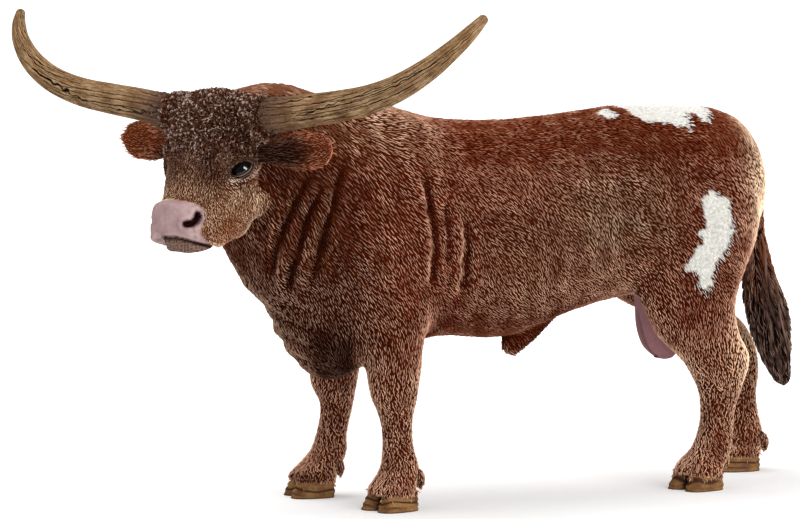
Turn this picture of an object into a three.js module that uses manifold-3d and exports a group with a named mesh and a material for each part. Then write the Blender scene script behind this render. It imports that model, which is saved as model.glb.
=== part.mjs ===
// A moulded plastic toy of a Texas longhorn bull, standing with its head turned to its left.
// Millimetres. The bull faces -Y, its left side is +X, and the floor is z = 0.

import * as THREE from "three";
import { mergeVertices } from "three/addons/utils/BufferGeometryUtils.js";
import Module from "manifold-3d";

const wasm = await Module();
wasm.setup();

// Driving sizes
const clearance = 0.3; // gap between neighbouring pieces
const headYaw = 22; // degrees the head is turned to the bull's left
const headPitch = 65; // degrees the face runs down from level
const poll = new THREE.Vector3(6, -41.9, 73.5); // middle of the head between the horns
const eyeRadius = 1.75;
const lidThickness = 0.6;
const foreX = 12.4; // the forelegs stand this far to each side
const hindX = 11.5;
const hoofHeight = 4.6;
const cleft = 0.6; // between the two claws of a foot
const pollCurls = 42;
const curlSize = 1.3;
const switchLocks = 18;
const lockThickness = [0.8, 1.05, 0.9, 0.3]; // of a tail lock, from its root to its tip
const lockLift = [-0.8, 0.15, 0.5, 0.9]; // how far it stands off the core of the switch

const rad = THREE.MathUtils.degToRad;

// Repeatable random numbers from 0 to 1
let seed = 7;
function random() {
  seed = (seed * 16807) % 2147483647;
  return seed / 2147483647;
}
const vary = (middle, spread) => middle + (random() * 2 - 1) * spread;

// A limb is a row of sections. yaw turns its way forward from -Y towards +X, and pitch tips it
// down, so that pitch 0 is a slice across the body and pitch 90 is a level slice of a leg.
// side is the half width, and top and bottom are the reaches above and below the centre, or
// on a leg to the front and the back. square makes the outline boxier from 2 up.
const plain = { x: 0, y: 0, z: 0, side: 1, top: 1, bottom: 1, yaw: 0, pitch: 0, square: 2 };
const complete = (section) => ({ ...plain, ...section, bottom: section.bottom ?? section.top });

function smooth(a, b, c, d, t) {
  const bend = 2 * a - 5 * b + 4 * c - d;
  const twist = 3 * b - a - 3 * c + d;
  return 0.5 * (2 * b + (c - a) * t + bend * t * t + twist * t * t * t);
}

// Sections on a smooth curve through the stated ones
function refine(sections, steps) {
  const full = sections.map(complete);
  const last = full.length - 1;
  const made = [];
  for (let i = 0; i < last; i++) {
    const [a, b, c, d] = [full[Math.max(i - 1, 0)], full[i], full[i + 1], full[Math.min(i + 2, last)]];
    for (let k = 0; k < steps; k++) {
      const next = {};
      for (const key of Object.keys(plain)) next[key] = smooth(a[key], b[key], c[key], d[key], k / steps);
      made.push(next);
    }
  }
  made.push(full[last]);
  return made;
}

function axes(yaw, pitch) {
  const [h, p] = [rad(yaw), rad(pitch)];
  return {
    forward: new THREE.Vector3(Math.sin(h) * Math.cos(p), -Math.cos(h) * Math.cos(p), -Math.sin(p)),
    side: new THREE.Vector3(Math.cos(h), Math.sin(h), 0),
    up: new THREE.Vector3(Math.sin(h) * Math.sin(p), -Math.cos(h) * Math.sin(p), Math.cos(p)),
  };
}

function outlinePoint(section, angle, grow = 0) {
  const { side, up } = axes(section.yaw, section.pitch);
  const power = 2 / section.square;
  const [c, s] = [Math.cos(angle), Math.sin(angle)];
  const across = Math.sign(c) * Math.abs(c) ** power * (section.side + grow);
  const rise = Math.sign(s) * Math.abs(s) ** power * ((s > 0 ? section.top : section.bottom) + grow);
  return new THREE.Vector3(section.x, section.y, section.z).addScaledVector(side, across).addScaledVector(up, rise);
}

// A closed skin over rings that follow one another forward, with a point at the middle of each end
function skin(rings) {
  const sides = rings[0].length;
  const middle = (ring) => ring.reduce((sum, p) => sum.add(p), new THREE.Vector3()).divideScalar(sides);
  const points = [...rings.flat(), middle(rings[0]), middle(rings.at(-1))];
  const [firstPole, lastPole] = [points.length - 2, points.length - 1];
  const end = (rings.length - 1) * sides;
  const faces = [];
  for (let j = 0; j < sides; j++) {
    const next = (j + 1) % sides;
    for (let i = 0; i < end; i += sides) {
      faces.push(i + j, i + next, i + sides + j, i + next, i + sides + next, i + sides + j);
    }
    faces.push(firstPole, next, j, lastPole, end + j, end + next);
  }
  const geometry = new THREE.BufferGeometry().setFromPoints(points);
  geometry.setIndex(faces);
  return geometry;
}

function solid(geometry) {
  const bare = geometry.clone().deleteAttribute("normal").deleteAttribute("uv");
  const merged = mergeVertices(bare, 1e-4);
  return new wasm.Manifold(
    new wasm.Mesh({
      numProp: 3,
      vertProperties: merged.attributes.position.array,
      triVerts: new Uint32Array(merged.index.array),
    }),
  );
}

function limb(sections, { sides = 16, steps = 2, grow = 0 } = {}) {
  const rings = refine(sections, steps).map((section) =>
    Array.from({ length: sides }, (_, j) => outlinePoint(section, (2 * Math.PI * j) / sides, grow)),
  );
  return solid(skin(rings));
}

// A turned ellipsoid, for a muscle or a bone under the skin
function lump({ x, y, z, side, along, high, yaw = 0, pitch = 0, detail = 12 }) {
  const { forward, side: across, up } = axes(yaw, pitch);
  const shape = new THREE.SphereGeometry(1, detail, Math.round(detail * 0.7)).scale(side, along, high);
  const turn = new THREE.Matrix4().makeBasis(across, forward.negate(), up).setPosition(x, y, z);
  return solid(shape.applyMatrix4(turn));
}

function block(size, at, yaw = 0, pitch = 0) {
  const { forward, side, up } = axes(yaw, pitch);
  const turn = new THREE.Matrix4().makeBasis(side, forward.negate(), up).setPosition(at);
  return solid(new THREE.BoxGeometry(...size).applyMatrix4(turn));
}

const join = (...solids) => solids.reduce((whole, next) => whole.add(next));
const largest = (made) => made.decompose().sort((a, b) => b.volume() - a.volume())[0];
const hands = { left: 1, right: -1 };
const bothHands = Object.values(hands);

// Trunk, from the rump forward to the chest
const trunk = [
  { y: 74, z: 57, side: 5, top: 7, bottom: 9 },
  { y: 72, z: 57, side: 9.5, top: 10.8, bottom: 10.5 },
  { y: 67, z: 56.5, side: 13.2, top: 14.7, bottom: 12.5, square: 2.2 },
  { y: 58, z: 56, side: 17, top: 17.3, bottom: 17, square: 2.4 },
  { y: 45, z: 55, side: 17.5, top: 18.5, bottom: 18.3, square: 2.3 },
  { y: 32, z: 53, side: 18, top: 19.2, bottom: 18.3, square: 2.2 },
  { y: 18, z: 51, side: 19.3, top: 20.3, bottom: 20.8, square: 2.2 },
  { y: 4, z: 51, side: 19, top: 21, bottom: 20, square: 2.2 },
  { y: -8, z: 51.5, side: 18.2, top: 23.3, bottom: 24, square: 2.2 },
  { y: -18, z: 52.5, side: 16, top: 23.4, bottom: 29.5, square: 2.1 },
  { y: -25.5, z: 55, side: 12.5, top: 22.5, bottom: 25.5 },
  { y: -30.5, z: 57, side: 7, top: 16, bottom: 15.5 },
];

const neck = [
  { x: 0, y: -10, z: 53, side: 15, top: 23, bottom: 22 },
  { x: 0.5, y: -20, z: 55, side: 15, top: 21.6, bottom: 24, yaw: 3, pitch: -3 },
  { x: 1.5, y: -28, z: 58, side: 13.5, top: 21.3, bottom: 20, yaw: 8 },
  { x: 3, y: -35, z: 61, side: 11.5, top: 17.8, bottom: 20.3, yaw: 15, pitch: 8 },
  { x: 5, y: -40, z: 64, side: 10, top: 13, bottom: 19, yaw: 20, pitch: 18 },
  { x: 6, y: -43, z: 65, side: 7, top: 8, bottom: 17.5, yaw: 22, pitch: 25 },
];

const sheath = [
  { y: 31, z: 39, side: 4.5, top: 4.5, pitch: 40 },
  { y: 27, z: 33.5, side: 3.8, top: 4, pitch: 50 },
  { y: 23.8, z: 29.3, side: 2.6, top: 2.8, pitch: 55 },
  { y: 22.3, z: 26.9, side: 1.4, top: 1.4, pitch: 60 },
];

// Head: along runs down the face, lift is towards its front, and across is to the bull's left
const face = axes(headYaw, headPitch);
const onHead = (along, lift = 0, across = 0) =>
  poll
    .clone()
    .addScaledVector(face.forward, along)
    .addScaledVector(face.up, lift)
    .addScaledVector(face.side, across);
const coordinates = ({ x, y, z }) => ({ x, y, z });
function headSection({ along, lift = 0, ...outline }) {
  const { x, y, z } = onHead(along, lift);
  return { x, y, z, yaw: headYaw, pitch: headPitch, ...outline };
}
const headSections = [
  { along: -4.2, side: 5.5, top: 2.5, bottom: 4 },
  { along: -2.6, side: 8.6, top: 4.4, bottom: 7 },
  { along: 1, side: 10, top: 5.6, bottom: 9.5, square: 2.2 },
  { along: 6, side: 9.6, top: 5, bottom: 11.5, square: 2.2 },
  { along: 10, side: 8.7, top: 4.5, bottom: 12.5, square: 2.1 },
  { along: 14, side: 7.6, top: 4.4, bottom: 12.5 },
  { along: 18, side: 6.5, top: 4.6, bottom: 10 },
  { along: 19.1, side: 6.3, top: 6, bottom: 9, square: 2.1 },
  { along: 20.3, side: 6.6, top: 7, bottom: 8, square: 2.3 },
  { along: 23, side: 6.6, top: 6.3, bottom: 6.3, square: 2.4 },
  { along: 24.9, side: 6.2, top: 5.2, bottom: 4.4, square: 2.4 },
  { along: 25.6, side: 5.4, top: 3.8, bottom: 3.2, square: 2.2 },
  { along: 26.4, side: 4.3, top: 2.8, bottom: 1.4 },
  { along: 26.9, side: 2.6, top: 1.8, bottom: 0.4 },
].map(headSection);

// The broad boss of the poll, which ends in a collar round each horn
const boss = [-12.4, -11, -5, 5, 11, 12.4].map((across) => ({
  ...headSection({ along: 0.2, lift: 0 }),
  ...coordinates(onHead(0.2, 0, across)),
  yaw: headYaw + 90,
  pitch: 0,
  side: Math.abs(across) > 12 ? 3.4 : 4.2,
  top: Math.abs(across) > 12 ? 3.2 : 4,
}));

const headCore = (grow = 0) =>
  join(limb(headSections, { sides: 24, steps: 1, grow }), limb(boss, { sides: 12, steps: 1, grow }));

function headLump(along, lift, across, sizes) {
  const { x, y, z } = onHead(along, lift, across);
  return lump({ x, y, z, yaw: headYaw, pitch: headPitch, ...sizes });
}

function eyelids(hand) {
  const ring = new THREE.TorusGeometry(eyeRadius, lidThickness, 5, 12).scale(1.15, 0.8, 1);
  const outward = face.side.clone().multiplyScalar(hand).addScaledVector(face.up, 0.35).normalize();
  const long = face.forward.clone().addScaledVector(face.up, 0.9).normalize();
  const upright = outward.clone().cross(long).normalize();
  const turn = new THREE.Matrix4().makeBasis(outward.clone().cross(upright).negate(), upright, outward);
  return solid(ring.applyMatrix4(turn.setPosition(onHead(9.9, 0, hand * 8.5))));
}

function eye(hand, grow = 0) {
  const radius = eyeRadius + grow;
  return headLump(9.9, -0.2, hand * 7.8, { side: radius, along: radius, high: radius, detail: 14 });
}

// Rounded curls that cover the poll and the forehead
function curls() {
  const made = [];
  const rows = refine(headSections.slice(1, 5), 6);
  for (let i = 0; i < pollCurls; i++) {
    const row = rows[Math.floor(random() * rows.length)];
    const angle = vary(Math.PI / 2, 1.35);
    const root = outlinePoint(row, angle, -0.7);
    const away = outlinePoint(row, angle, 1).sub(root).normalize();
    const bend = new THREE.Vector3(vary(0, 1), vary(0, 1), vary(0, 1)).projectOnPlane(away).normalize();
    const yaw = THREE.MathUtils.radToDeg(Math.atan2(away.x, -away.y));
    const pitch = -THREE.MathUtils.radToDeg(Math.asin(away.z));
    const size = vary(curlSize, 0.2);
    const at = (out, drift, thick) => {
      const { x, y, z } = root.clone().addScaledVector(away, out).addScaledVector(bend, drift);
      return { x, y, z, yaw, pitch, side: thick * size, top: thick * size };
    };
    made.push(
      limb([at(-0.4, 0, 0.9), at(0.6, 0, 1.05), at(1.2, 0.3, 0.85), at(1.6, 0.6, 0.4)], { sides: 6, steps: 1 }),
    );
  }
  return join(...made);
}

// Legs, from inside the body down to the fetlock. back sets the lower leg further back, and
// toe the foot, so that each leg stands in its own stride.
function foreleg({ x, toe }) {
  return [
    { x: x * 0.7, y: -8, z: 60, side: 7.5, top: 8, bottom: 9, pitch: 90 },
    { x: x * 0.84, y: -9, z: 50, side: 8, top: 9.5, bottom: 9.5, pitch: 90 },
    { x: x * 0.95, y: -9.5, z: 40, side: 7.4, top: 8.3, bottom: 8, pitch: 90 },
    { x, y: -9.7, z: 31, side: 5.8, top: 6.3, bottom: 5.8, pitch: 90 },
    { x, y: -9.9, z: 25, side: 4.8, top: 5.4, bottom: 5.2, pitch: 90 },
    { x, y: -9.7, z: 21, side: 4.4, top: 4.7, bottom: 4.4, pitch: 90 },
    { x, y: -9.3, z: 17, side: 3.5, top: 3.2, bottom: 3.2, pitch: 90 },
    { x, y: -9.1 + toe * 0.3, z: 12, side: 3.2, top: 3, bottom: 3.1, pitch: 90 },
    { x, y: -9 + toe * 0.55, z: 8.5, side: 3.9, top: 3.4, bottom: 4.1, pitch: 90 },
    { x, y: -9.8 + toe * 0.85, z: 5.7, side: 4.5, top: 4, bottom: 4.4, pitch: 85 },
    { x, y: -10.3 + toe, z: 4, side: 4, top: 3.5, bottom: 3.2, pitch: 82 },
  ];
}

function hindleg({ x, back, toe }) {
  return [
    { x: x * 0.7, y: 59, z: 60, side: 9, top: 12, bottom: 10, pitch: 90 },
    { x: x * 0.9, y: 58.8, z: 50, side: 8.8, top: 14, bottom: 11, pitch: 90 },
    { x: x * 1.03, y: 57 + back * 0.1, z: 38, side: 7.3, top: 14, bottom: 8.5, pitch: 90 },
    { x, y: 57 + back * 0.6, z: 30.5, side: 5.8, top: 10.5, bottom: 8.5, pitch: 90 },
    { x, y: 60 + back * 0.85, z: 25, side: 4.4, top: 7.6, bottom: 7, pitch: 90 },
    { x, y: 60.8 + back, z: 20, side: 3.9, top: 5.1, bottom: 4.8, pitch: 90 },
    { x, y: 60.4 + back, z: 15.5, side: 3.4, top: 3.6, bottom: 3.6, pitch: 90 },
    { x, y: 59.8 + back, z: 11.5, side: 3.4, top: 3.5, bottom: 3.7, pitch: 90 },
    { x, y: 58.6 + back * 0.5 + toe * 0.5, z: 8, side: 4.1, top: 3.8, bottom: 4.3, pitch: 90 },
    { x, y: 57 + toe, z: 5.8, side: 4.5, top: 4.3, bottom: 4.5, pitch: 85 },
    { x, y: 56 + toe, z: 4, side: 4, top: 3.5, bottom: 3.2, pitch: 82 },
  ];
}

// The four feet: where each sole is centred
const feet = {
  foreleg_left: { x: foreX, sole: -10.6, sections: foreleg({ x: foreX, toe: 0 }) },
  foreleg_right: { x: -foreX - 0.3, sole: -15.1, sections: foreleg({ x: -foreX - 0.3, toe: -4.3 }) },
  hindleg_left: { x: hindX, sole: 55.6, sections: hindleg({ x: hindX, back: 0, toe: 0 }) },
  hindleg_right: { x: -hindX, sole: 78, sections: hindleg({ x: -hindX, back: 19.5, toe: 22.4 }) },
};

// One claw of a foot: a flat sole, a sloping front, and an inner side cut flat at the cleft
function claw({ x, sole }, inner) {
  const yaw = Math.sign(x) * 10;
  const { forward, side } = axes(yaw, 0);
  const apart = inner ? -Math.sign(x) : Math.sign(x);
  const level = (z, ahead, out, wide, front, back) => ({
    x: x + forward.x * ahead + side.x * out * apart,
    y: sole + forward.y * ahead + side.y * out * apart,
    z,
    yaw: yaw + apart * 4,
    pitch: 90,
    side: wide,
    top: front,
    bottom: back,
    square: 2.6,
  });
  return limb(
    [
      level(hoofHeight, -0.5, 2.1, 2, 3.1, 3.5),
      level(hoofHeight - 1, -0.4, 2.3, 2.2, 3.6, 3.9),
      level(1.5, -0.1, 2.4, 2.35, 4, 4.2),
      level(0, 0, 2.4, 2.3, 4.2, 4.2),
    ],
    { sides: 12, steps: 1 },
  );
}

function halfFoot({ x, sole }, inner) {
  const yaw = Math.sign(x) * 10;
  const apart = inner ? -Math.sign(x) : Math.sign(x);
  const wide = 10;
  const at = new THREE.Vector3(x, sole, 0).addScaledVector(axes(yaw, 0).side, apart * (cleft / 2 + wide / 2));
  return block([wide, 30, 20], at, yaw);
}

const hoof = (foot, inner) => claw(foot, inner).intersect(halfFoot(foot, inner));

function dewclaws({ x, sole }) {
  const yaw = Math.sign(x) * 10;
  const { forward, side } = axes(yaw, 0);
  return [1, -1].map((apart) =>
    lump({
      x: x + side.x * apart * 2 - forward.x * 4.6,
      y: sole + side.y * apart * 2 - forward.y * 4.6,
      z: 5.8,
      side: 1.1,
      along: 1.7,
      high: 1.4,
      yaw,
      pitch: 35,
      detail: 8,
    }),
  );
}

// Horns: each station is a reach from the middle of the poll, level with the head
const hornStations = [
  { across: 8, up: 0, ahead: 0, thick: 3.2 },
  { across: 13, up: 0.4, ahead: 0, thick: 3.2 },
  { across: 20, up: 1.3, ahead: 0, thick: 2.95 },
  { across: 28, up: 2.3, ahead: 0, thick: 2.8 },
  { across: 36, up: 3.7, ahead: 0.3, thick: 2.6 },
  { across: 43.2, up: 6, ahead: 0.4, thick: 2.35 },
  { across: 49.2, up: 9.2, ahead: -0.4, thick: 2.05 },
  { across: 53.7, up: 12.8, ahead: -2, thick: 1.65 },
  { across: 56.3, up: 15.8, ahead: -3.9, thick: 1.3 },
  { across: 57.6, up: 18, ahead: -5.6, thick: 0.85 },
];

function horn(hand, grow = 0) {
  const level = axes(headYaw, 0);
  const path = new THREE.CatmullRomCurve3(
    hornStations.map(({ across, up, ahead }) =>
      poll
        .clone()
        .addScaledVector(level.side, across * hand)
        .addScaledVector(level.forward, ahead)
        .setZ(poll.z + up),
    ),
  );
  const sections = hornStations.map(({ thick }, i) => {
    const t = i / (hornStations.length - 1);
    const { x, y, z } = path.getPoint(t);
    const way = path.getTangent(t);
    const yaw = THREE.MathUtils.radToDeg(Math.atan2(way.x, -way.y));
    const pitch = -THREE.MathUtils.radToDeg(Math.asin(way.z));
    return { x, y, z, yaw, pitch, side: thick, top: thick };
  });
  return limb(sections, { sides: 12, steps: 2, grow });
}

// Ears: a leaf with a cup scooped out of its front
function ear(hand, grow = 0) {
  const yaw = headYaw + hand * 95;
  const pitch = -8;
  const { forward, side } = axes(yaw, pitch);
  const root = onHead(6.5, -2.5, hand * 7.5);
  const station = (out, wide, thick, shift = 0) => {
    const { x, y, z } = root.clone().addScaledVector(forward, out).addScaledVector(side, -hand * shift);
    return { x, y, z, yaw, pitch, side: thick, top: wide };
  };
  const leaf = [
    station(0, 2, 1.8),
    station(5, 2.3, 1.7),
    station(10, 3.3, 1.6),
    station(14.5, 3.5, 1.4),
    station(17.6, 2.3, 1),
    station(18.6, 0.9, 0.4),
  ];
  const scoop = [
    station(6, 0.8, 0.5, 1.4),
    station(10, 2.6, 1.3, 1.5),
    station(14.5, 2.6, 1.2, 1.4),
    station(17, 1.1, 0.5, 1.2),
  ];
  const shape = limb(leaf, { sides: 14, steps: 2, grow });
  return grow ? shape : shape.subtract(limb(scoop, { sides: 12, steps: 2 }));
}

// Tail: from the tail head over the rump, then hanging free, with the switch at its end
const tailSections = [
  { y: 63.5, z: 69.3, side: 2.4, top: 2.2, yaw: 180, pitch: 8 },
  { y: 68.5, z: 69, side: 2.3, top: 2.2, yaw: 180, pitch: 25 },
  { y: 72, z: 65.3, side: 2.1, top: 2, yaw: 180, pitch: 55 },
  { y: 74.3, z: 60, side: 1.9, top: 1.8, yaw: 180, pitch: 75 },
  { y: 75.5, z: 53, side: 1.7, top: 1.7, yaw: 180, pitch: 85 },
  { y: 76.2, z: 46, side: 1.6, top: 1.6, yaw: 180, pitch: 88 },
  { y: 76.5, z: 41, side: 1.7, top: 1.8, yaw: 180, pitch: 85 },
];

const switchSections = [
  { y: 76.2, z: 43, side: 1.7, top: 1.8, yaw: 180, pitch: 85 },
  { y: 76.6, z: 38.5, side: 3, top: 2.8, yaw: 180, pitch: 80 },
  { y: 77.7, z: 33, side: 3.8, top: 3.6, yaw: 180, pitch: 75 },
  { y: 79, z: 27, side: 3.5, top: 3.4, yaw: 180, pitch: 75 },
  { y: 80.4, z: 22, side: 2.2, top: 2.2, yaw: 180, pitch: 75 },
  { y: 81.6, z: 18.5, side: 0.7, top: 0.7, yaw: 180, pitch: 75 },
];

// Wavy locks that run down the switch
function tailSwitch() {
  const core = limb(switchSections, { sides: 12, steps: 1 });
  const path = refine(switchSections, 4);
  const locks = [];
  for (let i = 0; i < switchLocks; i++) {
    const angle = (2 * Math.PI * i) / switchLocks + vary(0, 0.1);
    const first = Math.floor(vary(5, 4));
    const wave = vary(0, 3);
    const length = vary(0, 0.6);
    const stations = lockThickness.map((thick, k) => {
      const at = path[Math.min(first + k * 3, path.length - 1)];
      const lean = angle + 0.25 * Math.sin(k * 1.8 + wave);
      const { x, y, z } = outlinePoint(at, lean, lockLift[k]);
      return { x, y, z: z + length * k, yaw: 180, pitch: 80, side: thick, top: thick };
    });
    locks.push(limb(stations, { sides: 6, steps: 1 }));
  }
  return largest(join(core, ...locks));
}

const scrotumSections = [
  { y: 51, z: 41, side: 3.2, top: 3, pitch: 90 },
  { y: 51.8, z: 35, side: 3.2, top: 2.9, pitch: 85 },
  { y: 53, z: 30, side: 4.2, top: 3.5, pitch: 80 },
  { y: 54, z: 26.5, side: 3.9, top: 3.3, pitch: 80 },
  { y: 54.4, z: 24.3, side: 1.6, top: 1.6, pitch: 80 },
];

// The flesh as one body
const bulk = join(
  limb(trunk, { sides: 26, steps: 2 }),
  limb(neck, { sides: 24, steps: 2 }),
  limb(sheath, { sides: 10, steps: 1 }),
  ...Object.values(feet).flatMap((foot) => [limb(foot.sections, { sides: 12 }), ...dewclaws(foot)]),
);
const skull = join(
  headCore(),
  curls(),
  ...bothHands.flatMap((hand) => [
    eyelids(hand),
    headLump(7.2, 2, hand * 7.6, { side: 2, along: 3, high: 2, detail: 10 }),
    headLump(13, -6.5, hand * 5, { side: 3, along: 5, high: 5, detail: 10 }),
  ]),
);

// The nostril is a comma that runs down and inwards from the outer corner of the muzzle
function nostril(hand) {
  const stations = [
    [20, 2.9, 6.1, 0.8],
    [21.2, 3.3, 5.9, 1.4],
    [22.7, 4.3, 5.1, 1.5],
    [23.3, 5.5, 3.6, 0.9],
  ].map(([along, lift, across, size]) => ({
    ...coordinates(onHead(along, lift, hand * across)),
    yaw: headYaw - hand * 25,
    pitch: headPitch + 10,
    side: size,
    top: size,
  }));
  return limb(stations, { sides: 8, steps: 1 });
}

// Blocks of space that part the flesh. Each can be grown by the gap to cut its neighbour.
const far = 200;

// Everything beyond a plane through a point, on the side that yaw and pitch face
function beyond(point, yaw, pitch, grow = 0) {
  const { forward } = axes(yaw, pitch);
  return block([far, far, far], point.clone().addScaledVector(forward, far / 2 - grow), yaw, pitch);
}
const headRoom = (grow = 0) =>
  beyond(onHead(3, -8.5), headYaw, 0, grow).intersect(beyond(new THREE.Vector3(0, 0, 49.3), 0, -90, grow));
const neckRoom = (grow = 0) => beyond(new THREE.Vector3(0, -20.5, 54), 0, -15, grow);
// The muzzle ends at the mouth, and its upper lip reaches further back than its top
const mouth = 25.1;
const muzzleSteps = [
  { from: 19.2, low: 1.6 },
  { from: 23.9, low: -1.5 },
];
function muzzleRoom(grow = 0) {
  const steps = muzzleSteps.map(({ from, low }) => {
    const [long, high] = [mouth - from + 2 * grow, 20 + 2 * grow];
    return block([30, long, high], onHead((from + mouth) / 2, low + 10), headYaw, headPitch);
  });
  return join(...steps);
}
// A leg takes the space of its own sections up to its top, and all of its quarter below legOnly
const legEnds = { fore: { top: 30.5, ahead: 0 }, hind: { top: 38.7, ahead: 180 } };
const legOnly = 20;
const waist = new THREE.Vector3(0, 20, 0);
function legRoom(name, grow = 0) {
  const { x, sections } = feet[name];
  const { top, ahead } = legEnds[name.slice(0, 4)];
  const low = (z) => beyond(new THREE.Vector3(0, 0, z + grow), 0, 90);
  const quarter = beyond(waist, 90 * Math.sign(x), 0).intersect(beyond(waist, ahead, 0));
  const own = limb(sections, { sides: 12, grow: clearance / 2 + grow });
  return join(own.intersect(low(top)), low(legOnly).intersect(quarter));
}

const inserts = join(
  ...bothHands.flatMap((hand) => [horn(hand, clearance), ear(hand, clearance), eye(hand, clearance)]),
  limb(tailSections, { sides: 12, grow: clearance }),
  limb(scrotumSections, { sides: 14, grow: clearance }),
);

const pieces = {};
const overHooves = beyond(new THREE.Vector3(0, 0, hoofHeight + clearance), 0, -90);
let rest = join(bulk, skull).subtract(inserts).intersect(overHooves);
const take = (name, room, grown) => {
  pieces[name] = largest(rest.intersect(room));
  rest = rest.subtract(grown);
};
for (const name of Object.keys(feet)) take(name, legRoom(name), legRoom(name, clearance));
take("head", headRoom(), headRoom(clearance));
take("neck", neckRoom(), neckRoom(clearance));
pieces.torso = largest(rest);
pieces.muzzle = largest(pieces.head.intersect(muzzleRoom()).subtract(join(...bothHands.map(nostril))));
pieces.head = largest(pieces.head.subtract(muzzleRoom(clearance)));

// The tail ends where the switch begins
const switchTop = 41;
const above = beyond(new THREE.Vector3(0, 0, switchTop), 0, -90);
const below = beyond(new THREE.Vector3(0, 0, switchTop - clearance), 0, 90);

const colours = {
  coat: 0x7a4326,
  muzzle: 0xc2979a,
  horn: 0xa0825c,
  hoof: 0xab8a58,
  eye: 0x0a0a0c,
  hair: 0x33231c,
};

function piece(name, made, colour, roughness = 0.6) {
  const { numProp, numVert, vertProperties, triVerts } = made.getMesh();
  const positions = new Float32Array(numVert * 3);
  for (let i = 0; i < numVert; i++) {
    positions.set(vertProperties.subarray(i * numProp, i * numProp + 3), i * 3);
  }
  const geometry = new THREE.BufferGeometry();
  geometry.setAttribute("position", new THREE.BufferAttribute(positions, 3));
  geometry.setIndex(new THREE.BufferAttribute(triVerts, 1));
  geometry.computeVertexNormals();
  const mesh = new THREE.Mesh(geometry, new THREE.MeshStandardMaterial({ color: colour, roughness }));
  mesh.name = name;
  return mesh;
}

const bull = new THREE.Group();
for (const [name, made] of Object.entries(pieces)) {
  bull.add(piece(name, made, name === "muzzle" ? colours.muzzle : colours.coat));
}
for (const [side, hand] of Object.entries(hands)) {
  const root = headCore(clearance);
  bull.add(piece(`horn_${side}`, largest(horn(hand).subtract(root)), colours.horn));
  bull.add(piece(`ear_${side}`, largest(ear(hand).subtract(root).subtract(horn(hand, clearance))), colours.coat));
  bull.add(piece(`eye_${side}`, eye(hand), colours.eye, 0.1));
}
for (const [name, foot] of Object.entries(feet)) {
  bull.add(piece(`${name}_hoof_inner`, hoof(foot, true), colours.hoof));
  bull.add(piece(`${name}_hoof_outer`, hoof(foot, false), colours.hoof));
}
bull.add(piece("tail", largest(limb(tailSections, { sides: 12 }).intersect(above)), colours.coat));
bull.add(piece("tail_switch", largest(tailSwitch().intersect(below)), colours.hair));
bull.add(piece("scrotum", limb(scrotumSections, { sides: 14 }), colours.muzzle));

// The origin is the middle of the footprint, on the floor
const middle = new THREE.Box3().setFromObject(bull).getCenter(new THREE.Vector3());
bull.position.set(-middle.x, -middle.y, 0);

export default bull;
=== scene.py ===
# A hand-painted, moulded plastic toy of a longhorn bull. The drawing is in millimetres:
# the bull faces -Y, its left side is +X and the floor is z = 0.
import math

import bpy
import numpy as np
from mathutils import Matrix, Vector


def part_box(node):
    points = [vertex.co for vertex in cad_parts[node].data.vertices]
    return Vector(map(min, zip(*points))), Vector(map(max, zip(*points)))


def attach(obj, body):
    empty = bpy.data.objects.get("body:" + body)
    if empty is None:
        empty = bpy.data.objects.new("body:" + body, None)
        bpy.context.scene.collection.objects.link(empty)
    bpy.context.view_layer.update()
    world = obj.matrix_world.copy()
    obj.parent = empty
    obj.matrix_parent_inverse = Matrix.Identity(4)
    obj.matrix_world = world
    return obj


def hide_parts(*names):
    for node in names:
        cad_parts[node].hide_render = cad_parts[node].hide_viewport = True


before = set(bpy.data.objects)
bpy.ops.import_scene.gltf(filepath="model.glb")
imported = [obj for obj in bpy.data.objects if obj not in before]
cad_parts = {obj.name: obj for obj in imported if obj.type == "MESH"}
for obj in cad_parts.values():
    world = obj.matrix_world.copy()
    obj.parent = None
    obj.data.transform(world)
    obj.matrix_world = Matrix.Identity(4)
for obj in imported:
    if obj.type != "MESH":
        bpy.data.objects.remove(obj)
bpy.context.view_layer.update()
rng = np.random.default_rng(5)

toy = {
    "headYaw": 22,  # degrees the head is turned to the bull's left
    "headPitch": 65,  # degrees the face runs down from level
    "poll": (6, -41.9, 73.5),  # middle of the head between the horns
    "reliefDepth": 0.22,  # how far the painted skin lies under the tips of the moulded fur
    "bodyVoxel": 0.6,
    "headVoxel": 0.23,
    "azimuth": 63,  # degrees the toy is seen from, round from its front towards its left
    "elevation": 4.5,
}


def toLinear(hexColour):
    srgb = np.array([int(hexColour[i : i + 2], 16) for i in (1, 3, 5)]) / 255
    return np.where(srgb <= 0.04045, srgb / 12.92, ((srgb + 0.055) / 1.055) ** 2.4)


def ramp(value, low, high):
    # 0 below low, 1 above high, and 3t^2 - 2t^3 between them
    t = np.clip((value - low) / (high - low), 0, 1)
    return t * t * (3 - 2 * t)


def bump(value, top, size):
    # 1 at top, falling off beside it as exp(-(distance / size)^2)
    return np.exp(-(((value - top) / size) ** 2))


def shareAt(places, where):
    # product of terms along named axes: "z 57 68" fades in from 57 to 68, "y 35 ~13" is a bump
    # at 35, 13 wide, and a name alone is taken as it is
    share = 1.0
    for term in where.split(", "):
        axis, *ends = term.split()
        if not ends:
            share = share * places[axis]
        elif ends[1].startswith("~"):
            share = share * bump(places[axis], float(ends[0]), float(ends[1][1:]))
        else:
            share = share * ramp(places[axis], float(ends[0]), float(ends[1]))
    return share


def mix(first, second, share):
    share = np.asarray(share)[..., None]
    return first * (1 - share) + second * share


def unit(vectors):
    return vectors / np.maximum(np.linalg.norm(vectors, axis=-1, keepdims=True), 1e-9)


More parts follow.
